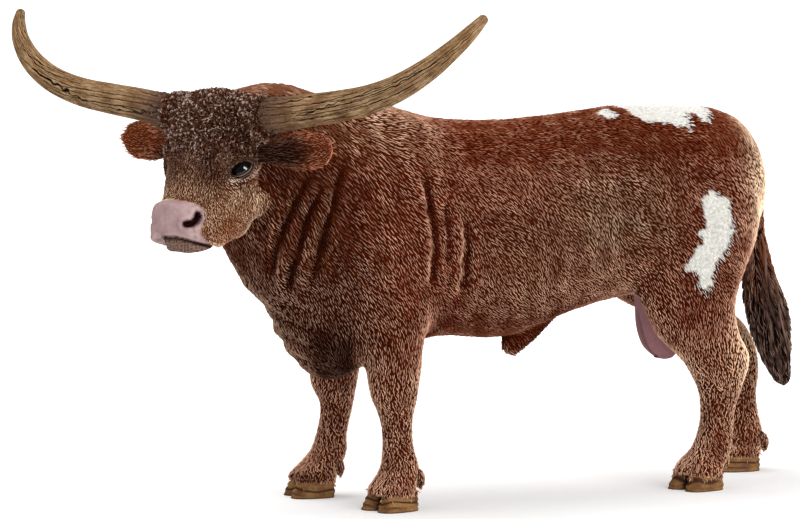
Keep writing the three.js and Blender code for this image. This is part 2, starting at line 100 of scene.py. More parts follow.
def axes(yaw, pitch):
    # forward, side and up of a slice whose way is turned by yaw and tipped down by pitch
    h, p = np.radians(yaw), np.radians(pitch)
    flat = np.zeros(np.broadcast(h, p).shape)
    forward = np.stack([np.sin(h) * np.cos(p), -np.cos(h) * np.cos(p), -np.sin(p) + flat], -1)
    side = np.stack([np.cos(h) + flat, np.sin(h) + flat, flat], -1)
    up = np.stack([np.sin(h) * np.sin(p), -np.cos(h) * np.sin(p), np.cos(p) + flat], -1)
    return forward, side, up


faceDown, faceSide, faceFront = axes(toy["headYaw"], toy["headPitch"])
poll = np.array(toy["poll"], float)


def onHead(along, lift=0.0, across=0.0):
    # a point by its reach down the face, towards its front and to the bull's left
    along, lift, across = (np.asarray(v, float)[..., None] for v in (along, lift, across))
    return poll + along * faceDown + lift * faceFront + across * faceSide


solidEye = (9.9, -0.2, 7.8)  # where the solid's left eye sits: it ties the drawing to the frame
eyeLow, eyeHigh = (np.array(corner) * 1000 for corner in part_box("eye_left"))
middle = onHead(*solidEye) - (eyeLow + eyeHigh) / 2
middle[2] = 0

turn, rise = np.radians([toy["azimuth"], toy["elevation"]])
seenBack = np.array([np.sin(turn) * np.cos(rise), -np.cos(turn) * np.cos(rise), np.sin(rise)])
seenRight = np.array([np.cos(turn), np.sin(turn), 0.0])
seenUp = np.cross(seenBack, seenRight)


def smoothRows(rows, steps):
    # Catmull-Rom: half of 2b + (c-a)t + (2a-5b+4c-d)t^2 + (3b-a-3c+d)t^3 between b and c
    padded = np.concatenate([rows[:1], rows, rows[-1:]])
    a, b, c, d = (padded[i : len(padded) - 3 + i, None, :] for i in range(4))
    t = (np.arange(steps) / steps)[None, :, None]
    bend, twist = 2 * a - 5 * b + 4 * c - d, 3 * b - a - 3 * c + d
    made = 0.5 * (2 * b + (c - a) * t + bend * t**2 + twist * t**3)
    return np.concatenate([made.reshape(-1, rows.shape[1]), rows[-1:]])


sectionKeys = ["x", "y", "z", "side", "top", "bottom", "yaw", "pitch", "square"]


def sections(columns, rows, **fixed):
    # a table of slices: centre, half width, reach above and below, turn, and boxiness from 2 up
    table = dict(zip(columns.split(), np.array(rows, float).T))
    count = len(rows)
    plain = dict(x=0, y=0, z=0, side=1, top=1, yaw=0, pitch=0, square=2)
    full = {key: np.full(count, float(value)) for key, value in {**plain, **fixed}.items()}
    full.update(table)
    full.setdefault("bottom", full["top"])
    return np.stack([full[key] for key in sectionKeys], 1)


def headSections(columns, rows):
    table = dict(zip(columns.split(), np.array(rows, float).T))
    at = onHead(table.pop("along"), table.pop("lift", 0.0), table.pop("across", 0.0))
    names = "x y z " + " ".join(table)
    return sections(
        names, np.column_stack([at, *table.values()]), yaw=toy["headYaw"], pitch=toy["headPitch"]
    )


def loft(slices, sides, steps, grow=0.0):
    # centre + sign(cos)|cos|^(2/square) * side * sideAxis + the same of sin * reach * upAxis
    x, y, z, side, top, bottom, yaw, pitch, square = smoothRows(slices, steps).T[..., None]
    angle = 2 * np.pi * np.arange(sides) / sides
    c, s = np.cos(angle), np.sin(angle)
    across = np.sign(c) * np.abs(c) ** (2 / square) * (side + grow)
    rise = np.sign(s) * np.abs(s) ** (2 / square) * (np.where(s > 0, top, bottom) + grow)
    _, sideAxis, upAxis = axes(yaw[:, 0], pitch[:, 0])
    centre = np.stack([x, y, z], -1)
    return centre + across[..., None] * sideAxis[:, None] + rise[..., None] * upAxis[:, None]


def closed(grid):
    # triangles of a grid of rings, with a point at the middle of each end
    rings, sides = grid.shape[:2]
    points = np.concatenate([grid.reshape(-1, 3), grid[:1].mean(1), grid[-1:].mean(1)])
    j = np.arange(sides)
    after = (j + 1) % sides
    start = (np.arange(rings - 1) * sides)[:, None]
    a, b, c, d = start + j, start + after, start + sides + j, start + sides + after
    end = (rings - 1) * sides
    first, last = np.full(sides, len(points) - 2), np.full(sides, len(points) - 1)
    faces = [
        np.stack([a, b, c], -1).reshape(-1, 3),
        np.stack([b, d, c], -1).reshape(-1, 3),
        np.stack([first, after, j], -1),
        np.stack([last, end + j, end + after], -1),
    ]
    return points, np.concatenate(faces)


def lump(centre, sizes, yaw=0.0, pitch=0.0, detail=24):
    # ellipsoid: centre + side*a*cos(u)sin(v) + forward*b*cos(v) + up*c*sin(u)sin(v)
    forward, side, up = axes(yaw, pitch)
    v = np.linspace(0.04, np.pi - 0.04, detail)[:, None]
    u = 2 * np.pi * np.arange(detail)[None, :] / detail
    parts = (np.cos(u) * np.sin(v) * sizes[0], np.cos(v) + 0 * u, np.sin(u) * np.sin(v) * sizes[2])
    grid = parts[0][..., None] * side - parts[1][..., None] * forward * sizes[1]
    return closed(np.asarray(centre) + grid + parts[2][..., None] * up)


def outward(points, triangles):
    # turns the triangles round if the shell encloses a negative volume
    a, b, c = (points[triangles[:, k]] for k in range(3))
    volume = (a * np.cross(b, c)).sum()
    return triangles if volume > 0 else triangles[:, ::-1]


def shell(grid):
    # a closed shell of rings, with its triangles facing outwards
    points, triangles = closed(grid)
    return points, outward(points - points.mean(0), triangles)


def together(shells):
    offsets = np.cumsum([0] + [len(points) for points, _ in shells[:-1]])
    points = np.concatenate([points for points, _ in shells])
    return points, np.concatenate([faces + at for (_, faces), at in zip(shells, offsets)])


def newMesh(name, points, triangles, smooth=True):
    mesh = bpy.data.meshes.new(name)
    mesh.vertices.add(len(points))
    mesh.vertices.foreach_set("co", ((points - middle) * 0.001).astype(np.float32).ravel())
    mesh.loops.add(triangles.size)
    mesh.loops.foreach_set("vertex_index", triangles.astype(np.int32).ravel())
    mesh.polygons.add(len(triangles))
    mesh.polygons.foreach_set("loop_start", np.arange(0, triangles.size, 3, dtype=np.int32))
    mesh.polygons.foreach_set("use_smooth", np.full(len(triangles), smooth))
    mesh.update(calc_edges=True)
    thing = bpy.data.objects.new(name, mesh)
    bpy.context.scene.collection.objects.link(thing)
    return thing


def addPiece(name, points, triangles, paint, material, smooth=True, slot=None, nodes=()):
    # a finished piece, with its painted colour at each point
    thing = newMesh(name, points, triangles, smooth)
    colour = np.ones((len(points), 4), np.float32)
    colour[:, :3] = paint
    attribute = thing.data.color_attributes.new("paint", "FLOAT_COLOR", "POINT")
    attribute.data.foreach_set("color", colour.ravel())
    thing.data.materials.append(material)
    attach(thing, "root")
    if nodes:
        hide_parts(*nodes)
    return thing


def fused(shells, voxel):
    # the shells as one skin of even small faces: its points, triangles and edges
    thing = newMesh("clay", *together(shells))
    modifier = thing.modifiers.new("fuse", "REMESH")
    modifier.mode = "VOXEL"
    modifier.voxel_size = voxel * 0.001
    mesh = bpy.data.meshes.new_from_object(
        thing.evaluated_get(bpy.context.evaluated_depsgraph_get())
    )
    mesh.calc_loop_triangles()
    points = np.zeros(len(mesh.vertices) * 3, np.float32)
    triangles = np.zeros(len(mesh.loop_triangles) * 3, np.int32)
    edges = np.zeros(len(mesh.edges) * 2, np.int32)
    mesh.vertices.foreach_get("co", points)
    mesh.loop_triangles.foreach_get("vertices", triangles)
    mesh.edges.foreach_get("vertices", edges)
    bpy.data.objects.remove(thing)
    points = points.reshape(-1, 3).astype(float) * 1000 + middle
    return points, triangles.reshape(-1, 3), edges.reshape(-1, 2)


def relax(points, edges, share, rounds):
    # each point moves by share of the way to the mean of its neighbours
    a, b = edges.T
    count = len(points)
    neighbours = np.bincount(edges.ravel(), minlength=count)[:, None]
    share = np.broadcast_to(share, count)[:, None]
    for _ in range(rounds):
        sums = [
            np.bincount(a, points[b, k], count) + np.bincount(b, points[a, k], count)
            for k in range(3)
        ]
        points = points + share * (np.stack(sums, 1) / neighbours - points)
    return points


def normalsOf(points, triangles):
    # the mean of the triangles round each point, weighed by their areas
    a, b, c = (points[triangles[:, k]] for k in range(3))
    cross = np.cross(b - a, c - a)
    count = len(points)
    sums = [
        sum(np.bincount(triangles[:, k], cross[:, m], count) for k in range(3)) for m in range(3)
    ]
    return unit(np.stack(sums, 1))


def distanceTo(path, points):
    # the shortest way to a bent line, and how far along it that is, from 0 to 1
    path = np.asarray(path, float)
    best, place = np.full(len(points), 1e9), np.zeros(len(points))
    for i in range(len(path) - 1):
        step = path[i + 1] - path[i]
        t = np.clip(((points - path[i]) @ step) / (step @ step), 0, 1)
        away = np.linalg.norm(points - path[i] - t[:, None] * step, axis=1)
        nearer = away < best
        best = np.where(nearer, away, best)
        place = np.where(nearer, (i + t) / (len(path) - 1), place)
    return best, place


def inside(outline, across, up):
    # even-odd rule: how many sides of the outline a ray to the right crosses
    odd = np.zeros(np.shape(across), bool)
    for (x0, y0), (x1, y1) in zip(outline, outline[1:] + outline[:1]):
        crosses = (y0 > up) != (y1 > up)
        reach = x0 + (up - y0) * (x1 - x0) / (y1 - y0 if y1 != y0 else 1e-9)
        odd ^= crosses & (across < reach)
    return odd


def shore(outline, across, up):
    # how far inside a closed outline a point is, and less than 0 outside it
    ring = np.array(outline + outline[:1], float)
    away, _ = distanceTo(ring, np.stack([across, up], -1))
    return np.where(inside(outline, across, up), away, -away)


waveWays = rng.normal(size=(24, 3))
wavePhases = rng.uniform(0, 2 * np.pi, 24)


def mottle(points, size, first=0):
    # soft random field mostly from -1 to 1: a quarter of the sum of eight sine waves, size long
    ways = unit(waveWays[first : first + 8]) * 2 * np.pi / size
    return np.sin(points @ ways.T + wavePhases[first : first + 8]).sum(1) / 4


# Paints, from the toy
paints = {
    "redBrown": toLinear("#6c3722"),
    "rustBack": toLinear("#6a3018"),
    "warmBelly": toLinear("#713c25"),
    "greyBrown": toLinear("#5f4435"),
    "darkNeck": toLinear("#40241b"),
    "sandyFace": toLinear("#7d5b43"),
    "orange": toLinear("#8a4a28"),
    "darkPoll": toLinear("#37180d"),
    "wash": toLinear("#1c0f0a"),
    "curlTip": toLinear("#f6dccb"),
    "white": toLinear("#f2f1ee"),
    "pink": toLinear("#a18183"),
    "paleRim": toLinear("#b69a96"),
    "maroon": toLinear("#240c0b"),
    "lipGrey": toLinear("#84695c"),
    "lidTan": toLinear("#7d6354"),
    # painted highlight for the nostril's rim
    "nostrilRimHighlight": toLinear("#c6aea9"),
    # painted highlight for the edge of the upper lip
    "lipEdgeHighlight": toLinear("#d0b4ac"),
    "lidRosy": toLinear("#80605c"),
}
paints["legBrown"] = mix(paints["redBrown"], paints["sandyFace"], 0.2)

fur = {
    "long": 0.8,  # from one stroke to the next by the flow, in mm
    "across": 0.3,
    "length": 1.2,
    "width": 0.21,
    "height": 0.22,
    "spread": 0.11,  # radians the strokes stray from the flow
    "candidates": 460000,  # roots tried, of which the evenly spaced ones stay
    "brush": 0.62,  # how much light paint the crests take, and how much that differs
    "brushSpread": 0.2,
    "gap": (0.34, 0.14, 0.04),  # dark wash between the strokes, as shares of the sprayed colour
    "side": (0.95, 0.58, 0.31),  # what is left of the sprayed colour on the strokes' sides
    "whiteGap": (0.66, 0.65, 0.61),  # both of these where the paint is white
    "lift": 11.0,  # how many times lighter than the sprayed colour the crests are brushed
    "pale": (1.04, 1.02, 0.78),  # hue of the grey mixed into that light paint, and its share
    "paleShare": 0.68,
}

# Patches of white paint, seen from the bull's left (y, z) and from above (x, y)
thighPatch = [(55.8, 58.7), (56.9, 57), (59.7, 56), (59, 53.5), (59.4, 49.8), (58.2, 47.1)]
thighPatch += [(56.3, 44.5), (55.1, 42.5), (54.8, 39.9), (53, 37.6), (51.3, 40), (51.1, 41.8)]
thighPatch += [(48.7, 42.4), (50.6, 46.4), (52.5, 48.4), (50.5, 49), (52.9, 51.2), (52.3, 56.5)]
rumpPatch = [(-8, 46), (-0.2, 43.4), (4.3, 43.1), (7.4, 42.8), (9.1, 43.9), (10.8, 44.2)]
rumpPatch += [(10.5, 46.1), (11.3, 47.4), (11.1, 49.3), (12.1, 49.8), (12.6, 50.6), (12.3, 52)]
rumpPatch += [(13.3, 52.3), (11.4, 54), (9.6, 54.6), (7.8, 55.4), (8.4, 56.8), (10.6, 56.6)]
rumpPatch += [(10.8, 58.7), (8.4, 59.8), (4, 61.8), (-4, 61), (-8.5, 56), (-10, 50)]
loinSpot = [(4.4, 36.9), (2.2, 38.6), (2.7, 40.5), (7.1, 40.4), (7.8, 38.8), (7.5, 37.4)]


def headPlace(points):
    # along, lift and across of points on the head
    way = points - poll
    return way @ faceDown, way @ faceFront, way @ faceSide


def whiteShare(points, eaten=0.0):
    # 1 on the white patches, which shrink by eaten
    x, y, z = points.T
    drift = 0.35 * mottle(points, 1.6, 8)
    thigh = np.where(x > 8, shore(thighPatch, y, z), -9)
    above = np.where(z > 62, np.maximum(shore(rumpPatch, x, y), shore(loinSpot, x, y)), -9)
    return (np.maximum(thigh, above) + drift > eaten).astype(float)


# where the brisket is darkened with painted shade, under the neck between the forelegs
brisketPaintedShade = "front -10.5 -13.5, front -26 -18, z 38 30"
# Sprayed tones in the order they go on: paint, tint, strength, and where in shareAt's terms
upperTones = [
    ("rustBack", (1, 1, 0.75), 0.9, "z 57 68, y -12 2"),  # back
    ("rustBack", (0.85, 0.68, 0.42), 0.9, "z 42 32, y -6 4, y 46 38"),  # belly
    ("sandyFace", 1, 0.45, "z 60 70, y 4 -12"),  # withers
    ("greyBrown", 1.15, 0.9, "y 35 ~13, z 53 ~11"),  # hollow of the flank
    ("greyBrown", 1, 0.35, "y -2 6, y 32 18, z 60 50, clouds"),  # ribs
    ("greyBrown", 1, 0.6, "y 72 ~8, z 58 ~14"),  # hips
    ("sandyFace", 1, 0.7, "y 62 70, y 79 72, z 30 42"),  # rump
    ("greyBrown", (0.72, 0.62, 0.58), 0.6, "slant -12 -24, z 76 60"),  # neck
    ("darkNeck", 1.3, 0.5, "y -14 -24, z 56 38"),  # dewlap
]
lowerTones = [
    ("legBrown", 1, 1, "z 34 24"),
    # painted shade on the brisket
    ("darkNeck", 0.4, 0.85, brisketPaintedShade),
    ("sandyFace", 1, 0.55, "z 27 ~6, y 56 64"),  # hocks
    ("orange", 1, 0.25, "z 13 7"),  # feet
]
# painted shade darkens the folds and painted light lifts the ridges beside them
foldPaintedShade, ridgePaintedLight = 0.5, 0.15  # how much darker the folds and lighter their ridges are


def bodyPlaces(points):
    # the axes that shareAt reads: x counts from the spine, slant runs down the neck and front
    # to the brisket, and clouds is a soft pattern
    x, y, z = points.T
    return {
        "x": np.abs(x),
        "y": y,
        "z": z,
        "slant": y + 0.25 * (z - 50),
        "front": y + 0.5 * np.abs(x),
        "clouds": 0.8 + 0.2 * mottle(points, 22, 16),
    }


def toned(paint, tones, places):
    for name, tint, strength, where in tones:
        paint = mix(paint, paints[name] * tint, strength * shareAt(places, where))
    return paint


def coatPaint(points):
    # the sprayed colours of the coat, before its dark wash and light strokes
    places = bodyPlaces(points)
    paint = mix(paints["redBrown"], paints["warmBelly"], 0.5 + 0.5 * mottle(points, 22, 16))
    paint = toned(paint, upperTones, places)
    furrow, ridge = foldsAt(points)
    # painted shade in the folds and painted light on their ridges
    shade = 1 - foldPaintedShade * ramp(furrow, 0.15, 0.8) + ridgePaintedLight * ramp(ridge, 0.3, 0.9)
    paint = toned(paint * shade[:, None], lowerTones, places)
    return mix(paint, paints["white"], whiteShare(points))


faceTones = [
    ("orange", (1, 1, 0.8), 0.5, "along 15 20, lift 0 -5"),  # corner of the jaw
    ("greyBrown", 1, 0.25, "along 8 16, lift 0 -7, lift -6 -12"),  # cheek
    ("darkNeck", 1, 0.8, "along 12 ~4, reach 4.4 ~2.8, lift -1 2"),  # brow
    ("darkPoll", 1, 0.9, "crown 16.5 8.5, lift -8 -1"),
    ("redBrown", 0.8, 0.8, "along 9 3, lift 0 -6"),  # temple
]


def facePaint(points):
    # sandy, with the tones of the face over it; crown is a wavy line across the brow
    along, lift, across = headPlace(points)
    crown = along + 1.5 * mottle(points, 5)
    places = {"along": along, "lift": lift, "reach": np.abs(across), "crown": crown}
    base = mix(paints["sandyFace"], paints["redBrown"], 0.2 + 0.2 * mottle(points, 9))
    return toned(base, faceTones, places)


# Trunk, neck, sheath, legs and tail: slices through the toy's plain forms
trunk = sections(
    "y z side top bottom square",
    [
        (74, 57, 5, 7, 9, 2),
        (72, 57, 9.5, 11.4, 10.5, 2),
        (67, 56.5, 13.2, 15.5, 12.5, 2.2),
        (58, 56, 17, 17.3, 17, 2.4),
        (45, 55, 17.5, 18.5, 18, 2.3),
        (32, 53, 18, 19.2, 18.8, 2.2),
        (18, 51, 19.3, 20.3, 21, 2.2),
        (4, 51, 19, 21.2, 20.3, 2.2),
        (-8, 51.5, 18.2, 23.7, 24, 2.2),
        (-18, 52.5, 16, 23.4, 29.5, 2.1),
        (-25.5, 55, 12.5, 22.5, 25.5, 2),
        (-30.5, 57, 7, 16, 15.5, 2),
    ],
)
neck = sections(
    "x y z side top bottom yaw pitch",
    [
        (0, -10, 53, 15, 23, 22, 0, 0),
        (0.5, -20, 55, 15, 21.9, 24, 3, -3),
        (1.5, -28, 58, 13.5, 21.5, 21, 8, 0),
        (3, -35, 61, 11.5, 17.8, 22.1, 15, 8),
        (5, -40, 64, 10, 13, 20.7, 20, 18),
        (6, -43, 65, 7, 8, 19.2, 22, 25),
    ],
)
sheath = sections(
    "y z side top pitch",
    [
        (30.4, 39, 4.5, 4.7, 35),
        (25.5, 33.6, 3.8, 4, 46),
        (22.1, 29.3, 2.7, 2.9, 52),
        (20.7, 26.8, 1.5, 1.5, 60),
    ],
)
tail = sections(
    "y z side top pitch",
    [
        (63, 69.6, 2.4, 2.2, 8),
        (67.7, 68.4, 2.3, 2.2, 25),
        (71, 64.8, 2.1, 2, 55),
        (73.5, 60, 1.9, 1.8, 75),
        (75.5, 53, 1.7, 1.7, 85),
        (76.2, 46, 1.6, 1.6, 88),
        (76.5, 41, 1.6, 1.7, 85),
        (76.8, 38, 1.2, 1.2, 85),
    ],
    yaw=180,
)


def foreleg(x, toe):
    # toe sets the foot forward for the stride
    return sections(
        "x y z side top bottom pitch",
        [
            (x * 0.7, -8, 60, 7.5, 8, 9, 90),
            (x * 0.84, -9, 50, 8, 9.5, 9.5, 90),
            (x * 0.95, -9.5, 40, 7.4, 8.3, 8, 90),
            (x, -9.7, 31, 5.8, 6.3, 5.8, 90),
            (x, -9.9, 25, 4.8, 5.4, 5.2, 90),
            (x, -9.7, 21, 4.4, 4.7, 4.4, 90),
            (x, -9.3, 17, 3.5, 3.2, 3.2, 90),
            (x, -9.1 + toe * 0.3, 12, 3.2, 3, 3.1, 90),
            (x, -9 + toe * 0.55, 8.5, 3.9, 3.1, 4.1, 90),
            (x, -9.8 + toe * 0.85, 5.7, 4.5, 3.5, 4.6, 85),
            (x, -10.3 + toe * 0.97, 4.2, 5.0, 4.2, 4.7, 83),
            (x, -10.4 + toe, 2.7, 5.1, 4.7, 4.7, 82),
        ],
    )


def hindleg(x, back, toe):
    # back sets the lower leg behind, and toe the foot
    return sections(
        "x y z side top bottom pitch",
        [
            (x * 0.7, 59, 60, 9, 12, 10, 90),
            (x * 0.9, 58.8, 50, 8.8, 14, 10.4, 90),
            (x * 1.03, 57 + back * 0.2, 38, 7.3, 14, 6.3, 90),
            (x, 57 + back * 0.7, 30.5, 5.8, 10.5, 7.3, 90),
            (x, 60 + back * 0.78, 25, 4.4, 7.6, 7, 90),
            (x, 60.8 + back * 0.9, 20, 3.9, 5.1, 4.8, 90),
            (x, 60.4 + back * 0.95, 15.5, 3.4, 3.6, 3.6, 90),
            (x, 59.8 + back, 11.5, 3.4, 3.5, 3.7, 90),
            (x, 58.6 + (back + toe) * 0.5, 8, 4.1, 3.5, 4.3, 90),
            (x, 57 + toe, 5.8, 4.5, 3.8, 4.7, 85),
            (x, 56.1 + toe, 4.2, 5.0, 4.2, 4.7, 83),
            (x, 55.9 + toe, 2.7, 5.1, 4.7, 4.7, 82),
        ],
    )


feet = {
    "foreleg_left": {"x": 12.4, "sole": -10.6, "leg": foreleg(12.4, 0)},
    "foreleg_right": {"x": -12.7, "sole": -15.1, "leg": foreleg(-12.7, -4.3)},
    "hindleg_left": {"x": 11.5, "sole": 55.6, "leg": hindleg(11.5, 0, 0)},
    "hindleg_right": {"x": -11.5, "sole": 78, "leg": hindleg(-11.5, 19.5, 22.4)},
}

# Swellings and hollows under the coat, the same on both flanks: where, how wide, how high
muscles = [
    {"at": (17, -11, 52), "size": (9, 8, 10), "height": 0.7},  # shoulder
    {"at": (17, 14, 50), "size": (8, 12, 12), "height": 0.3},  # ribs
    {"at": (18, 37, 48), "size": (9, 6, 10), "height": -1.0},  # flank hollow
    {"at": (14, 40, 63), "size": (6, 7, 5), "height": -0.6},  # hollow before the hip
    {"at": (13, 47, 67), "size": (5, 5, 4), "height": 0.5},  # hip bone
    {"at": (18, 57, 49), "size": (8, 8, 10), "height": 0.5},  # thigh
    {"at": (16, 44, 37), "size": (7, 4, 6), "height": 0.5},  # stifle
    {"at": (10, 71, 60), "size": (5, 5, 6), "height": 0.4},  # seat bone
    {"at": (0, -34, 39), "size": (9, 4, 4), "height": 0.5},  # dewlap
]
# Folds of the hide: how deep, and a line of (x, y, z)
folds = [
    (0.95, [(16, -6.1, 63.6), (17.7, -5.3, 58.6), (18.3, -4.3, 48.5), (18, -5.1, 40)]),
    (0.8, [(17.7, -3.1, 58.8), (18.7, -1.7, 51), (18.4, -1.9, 45)]),
    (0.95, [(18.5, 1.3, 55.7), (18.9, 2.2, 50.9), (18.5, 2.2, 46.8), (16.1, 2.8, 38)]),
    (1.0, [(14.2, -27, 64.5), (14, -30.6, 58.5), (10.5, -33, 50), (7, -33, 44)]),
    (1.0, [(14.5, -25, 63.1), (13.8, -28.4, 55.2), (10.4, -29.5, 46.9), (7, -29.5, 40)]),
    (0.85, [(13, -20.2, 67.1), (14.8, -23, 59.9), (13.7, -25.4, 50.8), (9, -26, 40)]),
]
foldShape = {"wide": 0.95, "ridgeAt": 2.1, "ridgeWide": 1.0, "wander": 0.25, "ridgeHigh": 0.35}


def onBothFlanks(points):
    return np.abs(points) * [1, 0, 0] + points * [0, 1, 1]


def foldsAt(points):
    # how far down in a fold a point is, and how far up on the low ridges beside it
    furrow, ridge = np.zeros(len(points)), np.zeros(len(points))
    for depth, line in folds:
        away, place = distanceTo(line, onBothFlanks(points))
        away = away + foldShape["wander"] * mottle(points, 4, 8)
        fade = depth * np.minimum(ramp(place, 0, 0.25), ramp(place, 1, 0.8))
        furrow += fade * bump(away, 0, foldShape["wide"])
        ridge += fade * bump(away, foldShape["ridgeAt"], foldShape["ridgeWide"])
    return furrow, ridge


def bodyRelief(points):
    # sum of height * exp(-(distance / size)^2), with the folds cut in
    rise = np.zeros(len(points))
    for muscle in muscles:
        reach = (onBothFlanks(points) - muscle["at"]) / muscle["size"]
        rise += muscle["height"] * np.exp(-(reach**2).sum(1))
    furrow, ridge = foldsAt(points)
    rise += foldShape["ridgeHigh"] * ridge - furrow
    x, y, z = points.T
    for foot in feet.values():  # the cleft runs up between the toes
        sole = foot["sole"]
        cleft = bump(x, foot["x"], 0.45) * ramp(z, 6.5, 4)
        rise -= 0.9 * cleft * ramp(y, sole, sole - 2) * ramp(y, sole - 8, sole - 6)
    scallop = ramp(y, -20, -26) * ramp(z, 46, 30) * 0.28 * np.sin(z * 1.5 + 0.6 * np.abs(x))
    return rise + scallop + 0.07 * mottle(points, 5)


# Where the legs and the neck melt into the trunk, in shareAt's terms
melting = {
    "shoulder": "y -9 ~15, z 26 34, z 66 56",
    "haunch": "y 55 ~18, z 26 38, z 70 60",
    "throat": "y -8 -14, z 20 28",
}


def bodySkin():
    inset = -toy["reliefDepth"]
    shells = [closed(loft(trunk, 40, 4, inset)), closed(loft(neck, 36, 4, inset))]
    shells += [closed(loft(sheath, 20, 4, inset)), closed(loft(tail, 20, 5, inset))]
    shells += [closed(loft(foot["leg"], 32, 5, inset)) for foot in feet.values()]
    points, triangles, edges = fused(shells, toy["bodyVoxel"])
    places = bodyPlaces(points)
    shoulder, haunch, throat = (shareAt(places, where) for where in melting.values())
    blend = np.maximum(np.maximum(shoulder, haunch) * ramp(places["x"], 3, 7), 0.6 * throat)
    points = relax(points, edges, 0.5 * blend, 110)
    points = relax(points, edges, 0.5, 4)
    points += normalsOf(points, triangles) * bodyRelief(points)[:, None]
    return points, triangles


print("body skin")
body = bodySkin()
print("body skin points", len(body[0]), "triangles", len(body[1]))

# Head: one shell of the skull, its poll boss, brows, cheeks and lips
skull = headSections(
    "along side top bottom square",
    [
        (-4.2, 5.5, 2.5, 4, 2),
        (-2.6, 8.6, 4.4, 7, 2),
        (1, 10, 5.6, 9.5, 2.2),
        (6, 9.6, 5, 11.5, 2.2),
        (10, 8.7, 4.5, 13.2, 2.1),
        (14, 7.8, 4.4, 14.6, 2),
        (18, 6.8, 4.6, 13.4, 2),
        (19.1, 6.5, 6, 12.4, 2.1),
        (20.3, 6.4, 6.9, 10.6, 2.3),
        (23, 6.3, 6.2, 6.9, 2.4),
        (24.9, 5.9, 5.4, 4.4, 2.4),
        (25.8, 5.6, 4.8, 3.2, 2.3),
        (26.5, 4.8, 3.9, 1.6, 2.2),
        (26.9, 3.4, 2.7, 0.4, 2),
    ],
)
bossAcross = np.array([-12.4, -11, -5, 5, 11, 12.4])
bossThick = np.where(np.abs(bossAcross) > 12, 3.4, 4.1)
boss = sections(
    "x y z side top",
    np.column_stack([onHead(0.2, 0, bossAcross), bossThick, bossThick]),
    yaw=toy["headYaw"] + 90,
)
# Brow, cheek and nape on both halves: along, lift, across, and sizes
headLumps = [
    (7.2, 1.8, 7.4, (1.9, 2.9, 1.9)),
    (13, -6.5, 4.8, (3, 5, 5)),
    (8.5, -11.5, 5, (5, 6.5, 5)),
]
eye = {
    "along": 9.95,
    "lift": -0.7,
    "across": 8.5,
    "radius": 1.75,
    "tilt": 28,  # degrees the opening's outer corner is raised
    "halfLength": 1.95,
    "above": 1.2,  # from the middle of the opening to its upper and lower rim
    "below": 1.0,
}
eyeCentre = onHead(eye["along"], eye["lift"], eye["across"])

# Outlines on the left half of the head, seen from where the toy is: right and up of the poll
pinkOutline = [(-17, -13.9), (-12.6, -13.9), (-10.2, -15.2), (-7.8, -15.4), (-5.2, -15.8)]
pinkOutline += [(-3.8, -16.3), (-2.9, -17.2), (-2.6, -18.4), (-2.7, -19.6), (-3.2, -20.6)]
pinkOutline += [(-3.2, -21.6), (-2.6, -22.6), (-1.2, -23.5), (-1.0, -24.1), (-17, -25)]
nostril = [(-4, -17.4), (-3.3, -17.7), (-3, -18.4), (-3.1, -19.1), (-3.6, -19.8), (-4.5, -20.3)]
nostril += [(-5.7, -20.5), (-6.4, -20.3), (-6.6, -19.8), (-6.4, -19.4), (-5.9, -19.2), (-5, -19.1)]
nostril += [(-4.6, -18.6), (-4.3, -17.8)]
slit = [(-17, -23.6), (-10.8, -23.2), (-10.4, -22.4), (-9.7, -22), (-7.8, -22)]
slit += [(-6.2, -22.4), (-3.8, -23.1), (-1.5, -23.7), (-0.7, -24.1)]


def leftHalf(points):
    # the same points with those of the right half of the head carried over to the left
    across = (points - poll) @ faceSide
    return points + (np.abs(across) - across)[:, None] * faceSide


def seen(points):
    # right and up of the poll for points on the head, as on its left half
    way = leftHalf(points) - poll
    return way @ seenRight, way @ seenUp


def lidPlace(points):
    # how far out of the eye's opening a point is, 1 at its rim, and its turn round it
    way = leftHalf(points) - eyeCentre
    right, up = way @ seenRight, way @ seenUp
    tilt = math.radians(eye["tilt"])
    s = (right * math.cos(tilt) + up * math.sin(tilt)) / eye["halfLength"]
    t = up * math.cos(tilt) - right * math.sin(tilt)
    t = t / np.where(t > 0, eye["above"], eye["below"])
    near = ramp(way @ seenBack, -3.5, -2)
    return np.where(near > 0, np.hypot(s, t), 9.0), t


def belowSlit(points):
    # how far a point is under the line of the mouth, which hangs a little lower on the far side
    right, up = seen(points)
    x, y = np.array(slit).T
    droop = 0.9 * ramp((points - poll) @ faceSide, -1.8, -3.4)
    return np.interp(right, x, y) - droop - up


headForm = {
    "socket": 1.5,  # depths and heights in mm
    "lid": 0.45,
    "wrinkle": 0.14,
    "wrinklesAt": (1.75, 2.2, 2.7),  # times the size of the eye's opening
    "nostril": 1.7,
    "nostrilRim": 0.28,
    "mouth": 1.2,
    "upperLip": 0.18,
    "philtrum": 0.2,
    "cheekCrest": 0.25,
}


